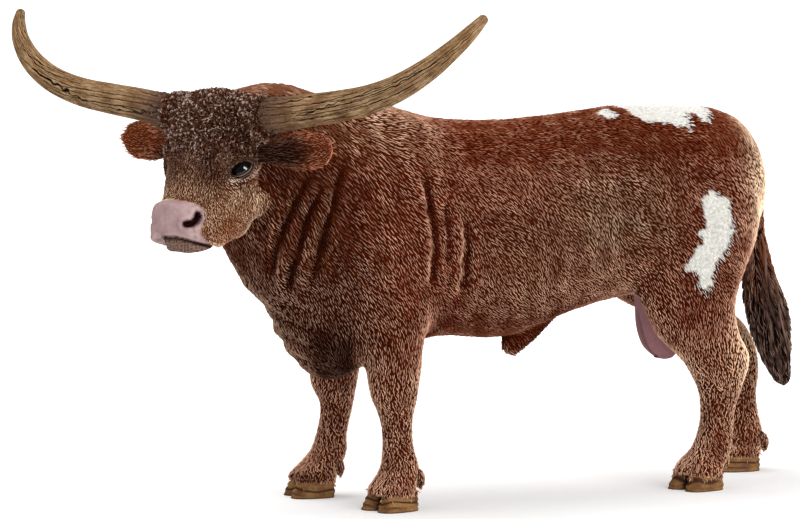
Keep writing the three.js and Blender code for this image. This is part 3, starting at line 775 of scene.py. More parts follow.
def headRelief(points):
    along, lift, across = headPlace(points)
    reach = np.abs(across)
    right, up = seen(points)
    q, t = lidPlace(points)
    rise = -headForm["socket"] * ramp(q, 1.1, 0.85)
    rise += headForm["lid"] * bump(q, 1.45, 0.3) * (1 + 0.5 * ramp(t, 0.2, 1))
    for ring in headForm["wrinklesAt"]:
        rise -= headForm["wrinkle"] * ramp(t, -0.2, -0.9) * bump(q, ring, 0.12)
    depth = shore(nostril, right, up)
    farSide = 1 - 0.85 * ramp(across, 0, -1)
    rise -= headForm["nostril"] * ramp(depth, -0.12, 0.35) * farSide
    rim = bump(depth, -0.6, 0.35) * ramp(across, -2, 0)
    rise += headForm["nostrilRim"] * rim * (1 + 0.6 * ramp(up, -19, -17.5))
    under = belowSlit(points)
    front = ramp(along, 21, 22.5)
    rise -= headForm["mouth"] * front * bump(under, 0.2, 0.3)
    rise += headForm["upperLip"] * front * bump(under, -0.8, 0.4)
    philtrum = ramp(along, 20, 22) * ramp(along, 25, 24.4) * ramp(lift, 3, 4)
    rise -= headForm["philtrum"] * bump(across, 0, 0.35) * philtrum
    crest = bump(lift + 1.2 - 0.12 * (along - 12), 0, 1.3)
    crest *= ramp(along, 12, 14) * ramp(along, 19, 17)
    rise += headForm["cheekCrest"] * crest * ramp(reach, 3, 5)
    return rise + 0.05 * mottle(points, 3.5)


def lipInset(points):
    # the lower lip sits back under the upper one, the more the nearer the front
    along, lift, across = headPlace(points)
    under = belowSlit(points)
    share = ramp(under, 0.1, 0.5) * ramp(along, 22.5, 23.5)
    back = 1.5 * ramp(lift, -3, 2.5)
    inwards = 0.9 * np.sign(across) * ramp(np.abs(across), 0.5, 4) * ramp(lift, -3, 1)
    return -share[:, None] * (
        back[:, None] * faceFront + inwards[:, None] * faceSide + 0.4 * faceDown
    )


def headSkin():
    shells = [closed(loft(skull, 48, 5, -0.1)), closed(loft(boss, 28, 4, -0.1))]
    for hand in (1, -1):
        for along, lift, across, sizes in headLumps:
            centre = onHead(along, lift, hand * across)
            shells.append(lump(centre, sizes, toy["headYaw"], toy["headPitch"]))
    points, triangles, edges = fused(shells, toy["headVoxel"])
    along, lift, _ = headPlace(points)
    muzzle = ramp(along, 18.4, 19.6) * ramp(lift, -3, 1)
    points = relax(points, edges, 0.5 * (1 - 0.85 * muzzle), 45)
    points = relax(points, edges, 0.5, 5)
    points += normalsOf(points, triangles) * headRelief(points)[:, None] + lipInset(points)
    return relax(points, edges, 0.3, 1), triangles


print("head skin")
head = headSkin()
print("head skin points", len(head[0]), "triangles", len(head[1]))


def addNode(tree, kind, settings=None, links=None):
    # adds one node, sets its properties and sockets, and links its inputs
    node = tree.nodes.new(kind)
    for name, value in (settings or {}).items():
        if hasattr(node, name):
            setattr(node, name, value)
        else:
            node.inputs[name].default_value = value
    for name, source in (links or {}).items():
        tree.links.new(source, node.inputs[name])
    return node


def paintedPlastic(name, settings, speck=None):
    # moulded plastic under brushed acrylic paint: the colour is the piece's own "paint",
    # broken by fine specks where the brush has skipped
    material = bpy.data.materials.new(name)
    material.use_nodes = True
    tree = material.node_tree
    shader = tree.nodes["Principled BSDF"]
    for socket, value in settings.items():
        shader.inputs[socket].default_value = value
    colour = addNode(tree, "ShaderNodeAttribute", {"attribute_name": "paint"}).outputs["Color"]
    if speck:
        place = addNode(tree, "ShaderNodeTexCoord").outputs["Object"]
        noise = addNode(
            tree,
            "ShaderNodeTexNoise",
            {"Scale": 1000 / speck["size"], "Detail": 2.0, "Roughness": 0.6},
            {"Vector": place},
        )
        reach = {"To Min": 1 - speck["depth"], "To Max": 1 + speck["depth"]}
        strength = addNode(
            tree,
            "ShaderNodeMapRange",
            {"From Min": 0.35, "From Max": 0.65, **reach},
            {"Value": noise.outputs["Fac"]},
        )
        tint = addNode(tree, "ShaderNodeVectorMath", {"operation": "SCALE"})
        tree.links.new(colour, tint.inputs[0])
        tree.links.new(strength.outputs["Result"], tint.inputs["Scale"])
        colour = tint.outputs["Vector"]
    tree.links.new(colour, shader.inputs["Base Color"])
    return material


# Matt acrylic on PVC: no clear shine, a soft broad sheen on the tips of the relief
coatPaintwork = paintedPlastic(
    "acrylic_painted_pvc_coat", {"Roughness": 0.6, "IOR": 1.47, "Specular IOR Level": 0.05}
)
skinPaintwork = paintedPlastic(
    "acrylic_washed_pvc_skin",
    {"Roughness": 0.68, "IOR": 1.47, "Specular IOR Level": 0.02},
    {"size": 0.5, "depth": 0.25},
)
# Satin acrylic: smooth, with a soft highlight
muzzlePaintwork = paintedPlastic(
    "satin_painted_pvc_muzzle", {"Roughness": 0.42, "IOR": 1.47}, {"size": 0.7, "depth": 0.08}
)
hornPaintwork = paintedPlastic(
    "dry_brushed_pvc_horn",
    {"Roughness": 0.55, "IOR": 1.47, "Specular IOR Level": 0.25},
    {"size": 0.5, "depth": 0.2},
)
# Gloss enamel: black, wet-looking, with sharp highlights
eyePaintwork = paintedPlastic("gloss_enamel_eye", {"Roughness": 0.04, "IOR": 2.0})

print("skins")


def paintBody(points):
    # the skin between the strokes, in dark wash; brown shows through at the patches' edges
    white = whiteShare(points) * whiteShare(points, 0.5)
    shade = (0.9 + 0.4 * mottle(points, 1.5, 8))[:, None]
    brown = mix(coatPaint(points), paints["redBrown"], whiteShare(points))
    return mix(brown * fur["gap"] * shade, paints["white"] * fur["whiteGap"], white)


def pinkShare(points):
    # 1 on the bare pink skin of the muzzle, with a ragged edge where the fur begins
    edge = shore(pinkOutline, *seen(points)) + 0.12 * mottle(points, 1.1)
    return ramp(edge, -0.15, 0.2) * ramp(headPlace(points)[0], 15, 17)


def lipShare(points):
    # 1 on the lower lip
    along, lift, _ = headPlace(points)
    return ramp(belowSlit(points), -0.05, 0.15) * ramp(along, 22, 23) * ramp(lift, -5.5, -4)


def paintHead(points):
    right, up = seen(points)
    pink = pinkShare(points)
    paint = facePaint(points) * [0.4, 0.25, 0.15]
    rosy = mix(paints["pink"], paints["paleRim"], np.clip(0.35 + 0.5 * mottle(points, 4), 0, 1))
    paint = mix(paint, rosy, pink)
    freckles = ramp(mottle(points, 1.3), -0.4, 0.8)
    freckles *= ramp(right, -6.4, -4.2) * ramp(up, -19.8, -20.6) * ramp(up, -23.2, -22.2)
    paint = mix(paint, paints["sandyFace"] * 0.45, 0.45 * freckles * pink)
    specks = ramp(mottle(points, 0.55, 16) + 0.9 * mottle(points, 0.5, 8), -0.1, 0.7)
    paint = mix(paint, mix(paints["lipGrey"], paints["lipGrey"] * 0.3, specks), lipShare(points))
    depth = shore(nostril, right, up)
    # a painted highlight on the upper rim of the nostril
    paint = mix(paint, paints["nostrilRimHighlight"], 0.55 * bump(depth, -0.5, 0.35) * ramp(up, -19.6, -18))
    paint = mix(paint, paints["maroon"], ramp(depth, -0.1, 0.1))
    under = belowSlit(points)
    # a painted highlight along the lower edge of the upper lip
    paint = mix(paint, paints["lipEdgeHighlight"], 0.5 * bump(under, -0.35, 0.16) * pink)
    shadow = ramp(under, -0.12, 0.02) * ramp(under, 0.75, 0.35)
    paint = mix(paint, paints["maroon"], 0.95 * shadow * ramp(headPlace(points)[0], 21, 22.5))
    q, t = lidPlace(points)
    paint = mix(paint, paints["greyBrown"] * 0.35, ramp(q, 1.9, 1.5))
    paint = mix(paint, paints["wash"], ramp(q, 1.15, 1.0))
    rosy = ramp(t, -0.1, -0.9) * ramp(q, 2.1, 1.7) * ramp(q, 1.15, 1.4)
    return mix(paint, paints["lidTan"], 0.6 * rosy * (0.5 + 0.5 * mottle(points, 0.8)))


bodyNodes = ["torso", "neck", "tail", *feet]
addPiece("body_skin", *body, paintBody(body[0]), skinPaintwork, slot="coat", nodes=bodyNodes)
headNodes = ["head", "muzzle"]
headThing = addPiece(
    "head_skin", *head, paintHead(head[0]), skinPaintwork, slot="coat", nodes=headNodes
)
headThing.data.materials.append(muzzlePaintwork)
faceCentres = head[0][head[1]].mean(1)
bareSkin = (pinkShare(faceCentres) > 0.5) & (shore(nostril, *seen(faceCentres)) < -0.1)
bareSkin &= belowSlit(faceCentres) < -0.1
headThing.data.polygons.foreach_set("material_index", bareSkin.astype(np.int32))

print("eyes")
# Fleshy rings round the opening: how far out, how thick, and their paint above and below
lidRings = [
    {"out": 1.0, "thick": 0.13, "above": "#160c08", "below": "#6f6056"},
    {"out": 1.15, "thick": 0.18, "above": "#5f4b3f", "below": "#1c100b"},
    {"out": 1.3, "thick": 0.16, "above": "#3d281c", "below": "#6a4d45"},
]


def mirrored(points):
    return points - 2 * ((points - poll) @ faceSide)[:, None] * faceSide


def eyeball():
    # an enamelled ball, black above, with a grey crescent below that is a painted reflection of the
    # floor
    points, triangles = lump(eyeCentre, (eye["radius"],) * 3, detail=64)
    q, t = lidPlace(points)
    # painted reflection of the floor on the lower part
    floorReflection = bump(q, 0.6, 0.12) * ramp(t, -0.2, -0.5)
    return points, triangles, mix(toLinear("#020202"), toLinear("#4a4846"), 0.8 * floorReflection)


def eyelids():
    # each ring follows the opening on a ball just larger than the eye, seen from the same side
    angle = np.linspace(0, 2 * np.pi, 97)[:, None]
    tilt = math.radians(eye["tilt"])
    around = 12  # sides of each ring
    shells, colours = [], []
    for ring in lidRings:
        s = np.cos(angle) * eye["halfLength"] * ring["out"]
        high = np.where(np.sin(angle) > 0, eye["above"], eye["below"])
        t = np.sign(np.sin(angle)) * np.abs(np.sin(angle)) ** 1.15 * high * ring["out"]
        right = s * math.cos(tilt) - t * math.sin(tilt)
        up = t * math.cos(tilt) + s * math.sin(tilt)
        ball = (eye["radius"] + 0.1) ** 2 - right**2 - up**2
        near = np.sqrt(np.maximum(ball, 0.12)) - 0.3 * (ring["out"] - 1)
        path = eyeCentre + right * seenRight + up * seenUp + near * seenBack
        away = unit(path - eyeCentre)
        beside = np.cross(unit(np.gradient(path, axis=0)), away)
        turn = (2 * np.pi * np.arange(around) / around)[None, :, None]
        out = np.cos(turn) * away[:, None] + np.sin(turn) * beside[:, None]
        thick = ring["thick"] * (0.75 + 0.25 * np.abs(np.sin(angle)) + 0.1 * np.sin(9 * angle))
        shells.append(shell(path[:, None] + thick[..., None] * out))
        share = ramp(np.sin(angle[:, 0]), -0.25, 0.25)
        colour = mix(toLinear(ring["below"]), toLinear(ring["above"]), share)
        colours.append(np.concatenate([np.repeat(colour, around, 0), colour[[0, -1]]]))
    return (*together(shells), np.concatenate(colours))


for side, hand in (("left", 1), ("right", -1)):
    for name, made, material, node in (
        (f"eye_{side}_gloss", eyeball(), eyePaintwork, [f"eye_{side}"]),
        (f"eye_{side}_lids", eyelids(), skinPaintwork, []),
    ):
        points, triangles, colour = made
        if hand < 0:
            points, triangles = mirrored(points), triangles[:, ::-1]
        slot = "eye" if node else "coat"
        addPiece(name, points, triangles, colour, material, slot=slot, nodes=node)

print("horns")
horn = {
    # across, up and ahead from the poll, level with the head, and radius
    "path": [
        (6, 0, 0, 3.2),
        (13, 0.4, 0, 3.15),
        (20, 1.3, 0, 2.95),
        (28, 2.3, 0, 2.8),
        (36, 3.7, 0.3, 2.6),
        (43.2, 6, 0.4, 2.35),
        (49.2, 9.2, -0.4, 2.05),
        (53.7, 12.8, -2, 1.65),
        (56.3, 15.8, -3.9, 1.3),
        (57.6, 18, -5.6, 0.9),
    ],
    "sides": 208,
    "steps": 26,
    "roll": 0.008,  # how much higher the left one is, by its length
    "bow": 0.3,  # how much higher the right one is in its inner half
    # cracks: how many round the horn, how deep, how narrow, and which waves
    "cracks": [(6, 0.3, 0.025, 0), (11, 0.22, 0.05, 8), (21, 0.13, 0.14, 16)],
    "stretch": 6,  # how much longer than wide the cracks' pattern is
    "colours": ("#765331", "#24120a", "#b08f68", "#5f4130"),
}


def hornPiece(hand):
    # rings of radius r less the cracks: depth * exp(-((1 - cos(n * angle + drift)) / narrow)^2),
    # where drift is a soft random field stretched along the horn
    rows = smoothRows(np.array(horn["path"], float), horn["steps"])
    forward, side, _ = axes(toy["headYaw"], 0)
    centre = poll + hand * rows[:, :1] * side + rows[:, 2:3] * forward + rows[:, 1:2] * [0, 0, 1]
    centre[:, 2] += hand * horn["roll"] * rows[:, 0]
    centre[:, 2] += (hand < 0) * horn["bow"] * bump(rows[:, 0], 23, 11)
    tipward = np.linspace(0, 1, 9)[1:, None]
    radius = rows[:, 3]
    way = unit(centre[-1] - centre[-2])
    centre = np.concatenate([centre, centre[-1] + way * tipward * 0.85])
    radius = np.concatenate([radius, radius[-1] * np.sqrt(np.clip(1 - tipward[:, 0] ** 2, 0.004, 1))])
    ways = unit(np.gradient(centre, axis=0))
    right = unit(np.cross(ways, [0, 0, 1.0]))
    up = np.cross(right, ways)
    steps = np.linalg.norm(np.diff(centre, axis=0), axis=1)
    length = np.concatenate([[0], np.cumsum(steps)])[:, None]
    angle = 2 * np.pi * np.arange(horn["sides"])[None, :] / horn["sides"]
    wide = radius[:, None]
    runs = length / horn["stretch"] + 0 * angle
    place = np.stack([wide * np.cos(angle), wide * np.sin(angle), runs], -1).reshape(-1, 3)
    jag = (0.5 * mottle(place * [1, 1, 5], 1.6, 4)).reshape(runs.shape)
    groove, crest = np.zeros(runs.shape), np.zeros(runs.shape)
    for count, depth, narrow, first in horn["cracks"]:
        drift = 2.6 * mottle(place + hand * 3, 5, first).reshape(runs.shape) + jag
        live = ramp(mottle(place - hand * 5, 3.4, first).reshape(runs.shape), -0.9, 0)
        wave = 1 - np.cos(count * angle + drift)
        groove += depth * live * bump(wave, 0, narrow)
        crest += depth * live * bump(wave, 5 * narrow, 3 * narrow)
    groove *= ramp(radius, 0.6, 1.2)[:, None]
    spread = (radius[:, None] * 1.02 - 1.3 * groove)[..., None]
    grid = centre[:, None] + spread * (
        np.cos(angle)[..., None] * right[:, None] + np.sin(angle)[..., None] * up[:, None]
    )
    tan, dark, light, rosy = (toLinear(c) for c in horn["colours"])
    points, triangles = closed(grid if hand < 0 else grid[:, ::-1])
    if hand > 0:
        groove, crest = groove[:, ::-1], crest[:, ::-1]
    tone = 0.3 + 0.3 * mottle(points[:-2], 5) + 0.35 * mottle(place, 0.6)
    tone += 0.2 * mottle(place, 0.35, 8) + 2.2 * crest.ravel()
    paint = mix(tan, light, np.clip(tone, 0, 1))
    paint = mix(paint, dark, ramp(groove.ravel(), 0.03, 0.12))
    nearBase = np.broadcast_to(ramp(length, 18, 7), groove.shape).ravel()
    paint = mix(paint, rosy, 0.85 * nearBase)
    reach = length + 0.8 * mottle(points[:-2], 3).reshape(groove.shape)
    paint = np.concatenate([paint, np.broadcast_to(tan, (2, 3))])
    triangles = outward(points - points.mean(0), triangles)
    return points, triangles, paint, np.append(ramp(reach, 12, 7), [0, 0])


hornBases = []  # what the fur at the horns' roots grows on
for side, hand in (("left", 1), ("right", -1)):
    points, triangles, colour, near = hornPiece(hand)
    hornBases.append((points, triangles, near**2, hand))
    name, nodes = f"horn_{side}_grooved", [f"horn_{side}"]
    addPiece(name, points, triangles, colour, hornPaintwork, slot="horn", nodes=nodes)

print("hooves")
hoofShape = {
    "height": 3.7,
    "cleft": 0.55,
    "apart": 2.4,  # from the foot's middle to each claw's
    "turn": 10,  # degrees the feet point outwards, and the claws away from each other
    "splay": 4,
    # half width and reaches forward and back at the top, and how much each grows to the sole
    "wide": (2.0, 0.36),
    "front": (3.1, 1.2),
    "back": (3.5, 0.75),
    "ringHigh": 0.09,
    "sides": 56,
    "rings": 40,
}
hoofColours = ("#98703f", "#3d1d0c", "#71492a", "#2a160c")  # pale, dark, mid and edge


def hoofClaw(foot, inner):
    # a tapering block of square 2.6 sides, its walls in growth rings, cut flat at the cleft
    hand = math.copysign(1, foot["x"])
    apart = -hand if inner else hand
    yaw = hand * hoofShape["turn"]
    forward, side, _ = axes(yaw, 0)
    rise = np.linspace(1, 0, hoofShape["rings"])
    t = 1 - rise
    grown = {"wide": np.sin(t * np.pi / 2), "front": t, "back": np.sqrt(t)}
    wide, front, back = (hoofShape[k][0] + hoofShape[k][1] * v for k, v in grown.items())
    rings = hoofShape["ringHigh"] * np.sin(t * 20 + 0.8 * np.sin(t * 7 + foot["sole"]))
    rings = rings + np.where(t > 0.97, -0.12, 0)
    ahead, out = -0.5 * rise, hoofShape["apart"] - 0.3 * rise
    standing = np.array([foot["x"], foot["sole"], 0])
    centre = standing + ahead[:, None] * forward + (out * apart)[:, None] * side
    centre[:, 2] = hoofShape["height"] * rise
    rows = np.column_stack([centre, wide + rings, front + rings, back + rings])
    way = yaw + apart * hoofShape["splay"]
    slices = sections("x y z side top bottom", rows, yaw=way, pitch=90, square=2.6)
    points, triangles = shell(loft(slices, hoofShape["sides"], 1))
    across = (points - standing) @ side * apart
    short = np.maximum(hoofShape["cleft"] / 2 - across, 0)
    points = points + (short * apart)[:, None] * side
    pale, dark, mid, edge = (toLinear(c) for c in hoofColours)
    height = points[:, 2]
    wander = 1.1 * np.sin(height * 2.1 + foot["sole"]) + 2.0 * mottle(points * [1, 1, 0.4], 5)
    line = np.sin(height * 4.2 + wander)
    paint = mix(pale, mid, 0.5 + 0.5 * mottle(points, 3))
    paint = mix(paint, dark, 0.9 * ramp(line, 0.1, 0.8) * ramp(height, 0.4, 1.2))
    paint = mix(paint, edge, ramp(height, 0.35, 0.0) * 0.7)
    paint = mix(paint, paints["redBrown"] * fur["gap"], ramp(height, 2.8, 3.2))
    return points, triangles, mix(paint, edge, ramp(across, 0.75, 0.3))


def dewclaw(foot, apart):
    # a furred drop with a horny tip that leans back and down from the fetlock
    yaw = math.copysign(hoofShape["turn"], foot["x"])
    forward, side, _ = axes(yaw, 0)
    t = np.linspace(0, 1, 9)[:, None]
    start = np.array([foot["x"], foot["sole"], 6.9]) + side * apart * 1.9 - forward * 3.4
    centre = start - forward * (2.4 * np.sin(t * 1.5)) - np.array([0, 0, 3.0]) * t**1.5
    size = 1.45 * np.sqrt(np.clip(1 - t[:, 0] ** 2.2, 0.01, 1))
    rows = np.column_stack([centre, size, size])
    slices = sections("x y z side top", rows, yaw=yaw + 180, pitch=50)
    colour = mix(paints["redBrown"] * 0.3, toLinear(hoofColours[3]), ramp(t[:, 0], 0.5, 0.8))
    colour = np.concatenate([np.repeat(colour, 14, 0), colour[[0, -1]]])
    return (*shell(loft(slices, 14, 1)), colour)


footSkins = []  # what the fur of the feet grows on, besides the body's skin
for name, foot in feet.items():
    for label, inner in (("inner", True), ("outer", False)):
        points, triangles, colour = hoofClaw(foot, inner)
        node = f"{name}_hoof_{label}"
        addPiece(
            f"{node}_ringed", points, triangles, colour, hornPaintwork, slot="hoof", nodes=[node]
        )
        furred = ramp(points[:, 2] + 0.35 * mottle(points, 1.6), 2.6, 2.9)
        footSkins.append((points, triangles, furred, np.array([foot["x"], foot["sole"], 0])))
    for label, apart in (("a", 1), ("b", -1)):
        points, triangles, colour = dewclaw(foot, apart)
        addPiece(f"{name}_dewclaw_{label}", points, triangles, colour, hornPaintwork, slot="hoof")
        tip = points.mean(0)
        furred = ramp(points[:, 2], tip[2] - 1.6, tip[2] - 0.9)
        footSkins.append((points, triangles, furred, tip))

print("ears, tail switch and purse")
earShape = {
    "turn": 95,  # degrees the ears stand off the head's way, and the pitch of their length
    "pitch": -8,
    # out from the root, half width, thickness, how deep the cup is
    "leaf": [
        (0, 1.4, 1.8, 0.3),
        (3, 1.5, 1.6, 0.9),
        (6, 2.3, 1.2, 2.6),
        (10, 3.3, 1.1, 3.8),
        (14, 3.5, 1.1, 3.3),
        (16.6, 2.8, 1.1, 1.9),
        (18, 1.7, 0.8, 0.7),
        (18.7, 0.6, 0.4, 0.1),
    ],
    "droop": 0.0105,
    "farHigher": 0.4,  # how much higher the right ear sits
    "sides": 48,
    "steps": 8,
}
earLength = earShape["leaf"][-1][0]
earRoot = (6.5, -2.5)  # along and lift


def earShell(hand):
    # a leaf whose front bends in by depth * (1 - v^2) of its half width v, closed at its rim
    forward, side, up = axes(toy["headYaw"] + hand * earShape["turn"], earShape["pitch"])
    root = onHead(*earRoot, hand * 7.5) + [0, 0, earShape["farHigher"] * (hand < 0)]
    leaf = smoothRows(np.array(earShape["leaf"], float), earShape["steps"])
    out, wide, thick, cup = leaf.T[..., None]
    angle = 2 * np.pi * np.arange(earShape["sides"])[None, :] / earShape["sides"]
    v = np.cos(angle)
    ahead = 0.5 * thick * np.sin(angle) - cup * (1 - v**2)
    faceWay = -hand * side
    grid = root + out[..., None] * forward + (v * wide)[..., None] * up
    grid = grid + ahead[..., None] * faceWay
    grid = grid - (earShape["droop"] * out**1.5)[..., None] * np.array([0, 0, 1.0])
    share = np.broadcast_to(out / earLength, ahead.shape).ravel()
    inner = np.broadcast_to(ramp(np.sin(angle), 0.3, 0.7), ahead.shape).ravel()
    shape = {
        "out": np.append(share, [0, 1]),
        "inner": np.append(inner, [0, 0]),
        "forward": forward,
        "face": faceWay,
    }
    return (*shell(grid), shape)


def earPaint(shape):
    # dark in the cup and at the root, partly the ear's own dark hair and partly painted shade of the
    # deep cup; orange-brown round the tip
    out = shape["out"]
    tip = paints["orange"] * [1.15, 0.95, 0.85]
    paint = mix(paints["redBrown"] * 1.3, tip, 0.9 * ramp(out, 0.4, 0.75))
    paint = mix(paint, paints["darkNeck"], 0.7 * ramp(out, 0.45, 0.15))
    # painted shade in the cup, over the ear's own dark colour
    return mix(paint, paints["wash"] * 1.3, 0.85 * shape["inner"] * ramp(out, 0.72, 0.4))


ears = {}
for side, hand in (("left", 1), ("right", -1)):
    points, triangles, shape = ears[side] = earShell(hand)
    # the leaf under the strokes carries the cup's painted shade too
    paint = earPaint(shape) * 0.5
    name, nodes = f"ear_{side}_leaf", [f"ear_{side}"]
    addPiece(name, points, triangles, paint, skinPaintwork, slot="coat", nodes=nodes)

purse = {
    "slices": [
        (51, 41, 3.2, 3, 90),
        (51.8, 35, 3.2, 2.9, 85),
        (53, 30, 4.2, 3.5, 80),
        (54, 26.5, 3.9, 3.3, 80),
        (54.5, 24.8, 2.4, 2.1, 80),
        (54.6, 24.2, 0.9, 0.9, 80),
    ],
    "middle": 53.3,  # y between its front and its back
    "seamWide": 0.7,
    "seamDeep": 0.5,
    "colours": ("#a67377", "#7c4d4e"),
}
points, triangles = shell(loft(sections("y z side top pitch", purse["slices"]), 48, 8))
seam = bump(points[:, 0], 0, purse["seamWide"]) * ramp(points[:, 2], 36, 30)
points[:, 1] += seam * purse["seamDeep"] * np.where(points[:, 1] < purse["middle"], 1, -1)
share = np.clip(0.8 * seam + 0.2 * mottle(points, 5), 0, 1)
pinkPurse = mix(*(toLinear(c) for c in purse["colours"]), share)
addPiece("purse", points, triangles, pinkPurse, muzzlePaintwork, slot="muzzle", nodes=["scrotum"])

switch = {
    "core": [
        (75.6, 49.5, 0.9, 0.9, 88),
        (75.9, 46.3, 1.7, 1.75, 87),
        (76.1, 42.8, 2.2, 2.4, 86),
        (76.5, 38.8, 2.9, 3.1, 80),
        (78.1, 33, 3.3, 3.8, 75),
        (79.6, 27, 3.1, 3.3, 75),
        (80.9, 22, 2.0, 2.1, 75),
        (81.8, 19.2, 1.4, 1.4, 75),
        (82.2, 18.2, 0.6, 0.6, 75),
    ],
    "locks": 30,
    "stations": 14,  # rings of each lock
    "colours": ("#25120c", "#8e7265", "#0d0604", "#6a3a24"),  # dark, light, black and rust
}


def switchCore():
    return loft(sections("y z side top pitch", switch["core"], yaw=180), 36, 10)


def switchLocks():
    # each lock runs down the core: root angle a + wave * sin(k t + p), standing off as sin(pi t)
    core = switchCore()
    rows, sides = core.shape[:2]
    count, stations = switch["locks"], switch["stations"]
    t = np.linspace(0, 1, stations)[None, :]
    start = rng.uniform(0, 0.72, (count, 1))
    length = rng.uniform(0.22, 0.42, (count, 1))
    level = np.clip(start + length * t, 0, 1)
    lean = rng.uniform(0, 1, (count, 1)) + rng.normal(0, 0.03, (count, 1)) * t
    wave = 0.02 * np.sin(t * rng.uniform(4, 9, (count, 1)) + rng.uniform(0, 6, (count, 1)))
    turn = (lean + wave) % 1 * sides
    row = level * (rows - 1)
    low = np.minimum(row.astype(int), rows - 2)
    share = (row - low)[..., None]
    first = turn.astype(int) % sides
    part = (turn - turn.astype(int))[..., None]

    def onRing(r):
        return core[r, first] * (1 - part) + core[r, (first + 1) % sides] * part

    surface = onRing(low) * (1 - share) + onRing(low + 1) * share
    axis = core.mean(1)[low] * (1 - share) + core.mean(1)[low + 1] * share
    away = unit(surface - axis)
    lift = rng.uniform(-0.2, 0.1, (count, 1)) + rng.uniform(0.0, 0.5, (count, 1)) * t**2
    path = surface + away * lift[..., None]
    belly = np.sqrt(np.clip(np.sin(np.pi * (0.08 + 0.9 * t)), 0.02, 1))
    thick = (rng.uniform(0.25, 0.5, (count, 1)) * belly)[..., None, None]
    ways = unit(np.gradient(path, axis=1))
    across = unit(np.cross(ways, away))
    outwards = np.cross(across, ways)
    angle = 2 * np.pi * np.arange(6) / 6
    c, s = np.cos(angle)[:, None], np.sin(angle)[:, None]
    grid = path[:, :, None] + thick * (c * across[:, :, None] + 0.8 * s * outwards[:, :, None])
    dark, light, black, rust = (toLinear(x) for x in switch["colours"])
    crest = np.clip(np.sin(angle), 0, 1)[None, None, :] ** 2
    crest = crest * rng.uniform(0.05, 1, (count, 1, 1)) ** 1.8
    crest = crest * (0.65 + 0.35 * np.sin(9 * t + 6 * lean))[..., None]
    base = mix(rust, dark, ramp(level, 0.1, 0.45))[:, :, None, :]
    paint = mix(base, light, np.broadcast_to(crest, grid.shape[:3]))
    paint = mix(paint, black, np.broadcast_to(ramp(np.sin(angle), 0.1, -0.6), grid.shape[:3]))
    shells = [shell(lock) for lock in grid] + [shell(core)]
    colours = [
        np.concatenate([shade.reshape(-1, 3), shade[0, :1], shade[-1, :1]]) for shade in paint
    ]
    colours.append(np.broadcast_to(black, shells[-1][0].shape))
    return (*together(shells), np.concatenate(colours))


addPiece("switch_locks", *switchLocks(), coatPaintwork, slot="switch", nodes=["tail_switch"])

print("moulded fur")


def scatter(points, triangles, density, count):
    # roots spread evenly by area times density, with their smooth normals
    normals = normalsOf(points, triangles)
    a, b, c = (points[triangles[:, k]] for k in range(3))
    area = np.linalg.norm(np.cross(b - a, c - a), axis=1)
    chance = area * density[triangles].mean(1)
    chosen = rng.choice(len(triangles), count, p=chance / chance.sum())
    r1, r2 = np.sqrt(rng.random((count, 1))), rng.random((count, 1))
    corners = (1 - r1, r1 * (1 - r2), r1 * r2)
    place = sum(w * points[triangles[chosen, k]] for k, w in enumerate(corners))
    normal = unit(sum(w * normals[triangles[chosen, k]] for k, w in enumerate(corners)))
    return place, normal


def closePairs(roots, normals, ways, apart):
    # pairs of roots nearer than an ellipse apart[0] long by the way and apart[1] across it,
    # looked for in cubes of side apart[0] that touch
    cells = np.floor((roots - roots.min(0)) / apart[0].max()).astype(np.int64) + 1
    strides = np.array([1, 2000, 4000000])
    order = np.argsort(cells @ strides, kind="stable")
    keys = (cells @ strides)[order]
    found = []
    near = (-1, 0, 1)
    shifts = [int(np.dot((x, y, z), strides)) for x in near for y in near for z in near]
    for shift in (shift for shift in shifts if shift >= 0):
        start, stop = (np.searchsorted(keys, keys + shift, end) for end in ("left", "right"))
        number = stop - start
        first = np.repeat(np.arange(len(keys)), number)
        second = np.arange(number.sum()) + np.repeat(start - np.cumsum(number) + number, number)
        if shift == 0:
            first, second = first[second > first], second[second > first]
        i, j = order[first], order[second]
        gap = roots[j] - roots[i]
        by = (gap * ways[i]).sum(1)
        off = (gap**2).sum(1) - by**2
        close = (by / apart[0][i]) ** 2 + off / apart[1][i] ** 2 < 1
        close &= (normals[i] * normals[j]).sum(1) > 0
        found.append(np.stack([i[close], j[close]]))
    return np.concatenate(found, 1)


def evenly(roots, normals, ways, long, across):
    # the roots left when each, in turn, has pushed out the later ones too close to it, with
    # their normals, ways and numbers
    apart = [np.broadcast_to(reach, len(roots)) for reach in (long, across)]
    i, j = closePairs(roots, normals, ways, apart)
    i, j = np.minimum(i, j), np.maximum(i, j)
    waiting, kept = np.ones(len(roots), bool), np.zeros(len(roots), bool)
    while waiting.any():
        blocked = np.zeros(len(roots), bool)
        blocked[j] = True
        fresh = waiting & ~blocked
        kept |= fresh
        waiting &= ~fresh
        waiting[j[fresh[i]]] = False
        live = waiting[i] & waiting[j]
        i, j = i[live], j[live]
    kept = np.flatnonzero(kept)
    return roots[kept], normals[kept], ways[kept], kept


def gather(skins, count, wayAt):
    # roots on several shells at once; each comes with its density and what wayAt needs
    parts = []
    for points, triangles, density, mark in skins:
        roots, normals = scatter(points, triangles, density, count)
        parts.append((roots, normals, wayAt(roots, mark)))
    return (np.concatenate(part) for part in zip(*parts))


def turned(ways, normals, angles):
    # turns each way about its normal: cos(a) way + sin(a) normal x way
    angles = angles[:, None]
    return np.cos(angles) * ways + np.sin(angles) * np.cross(normals, ways)


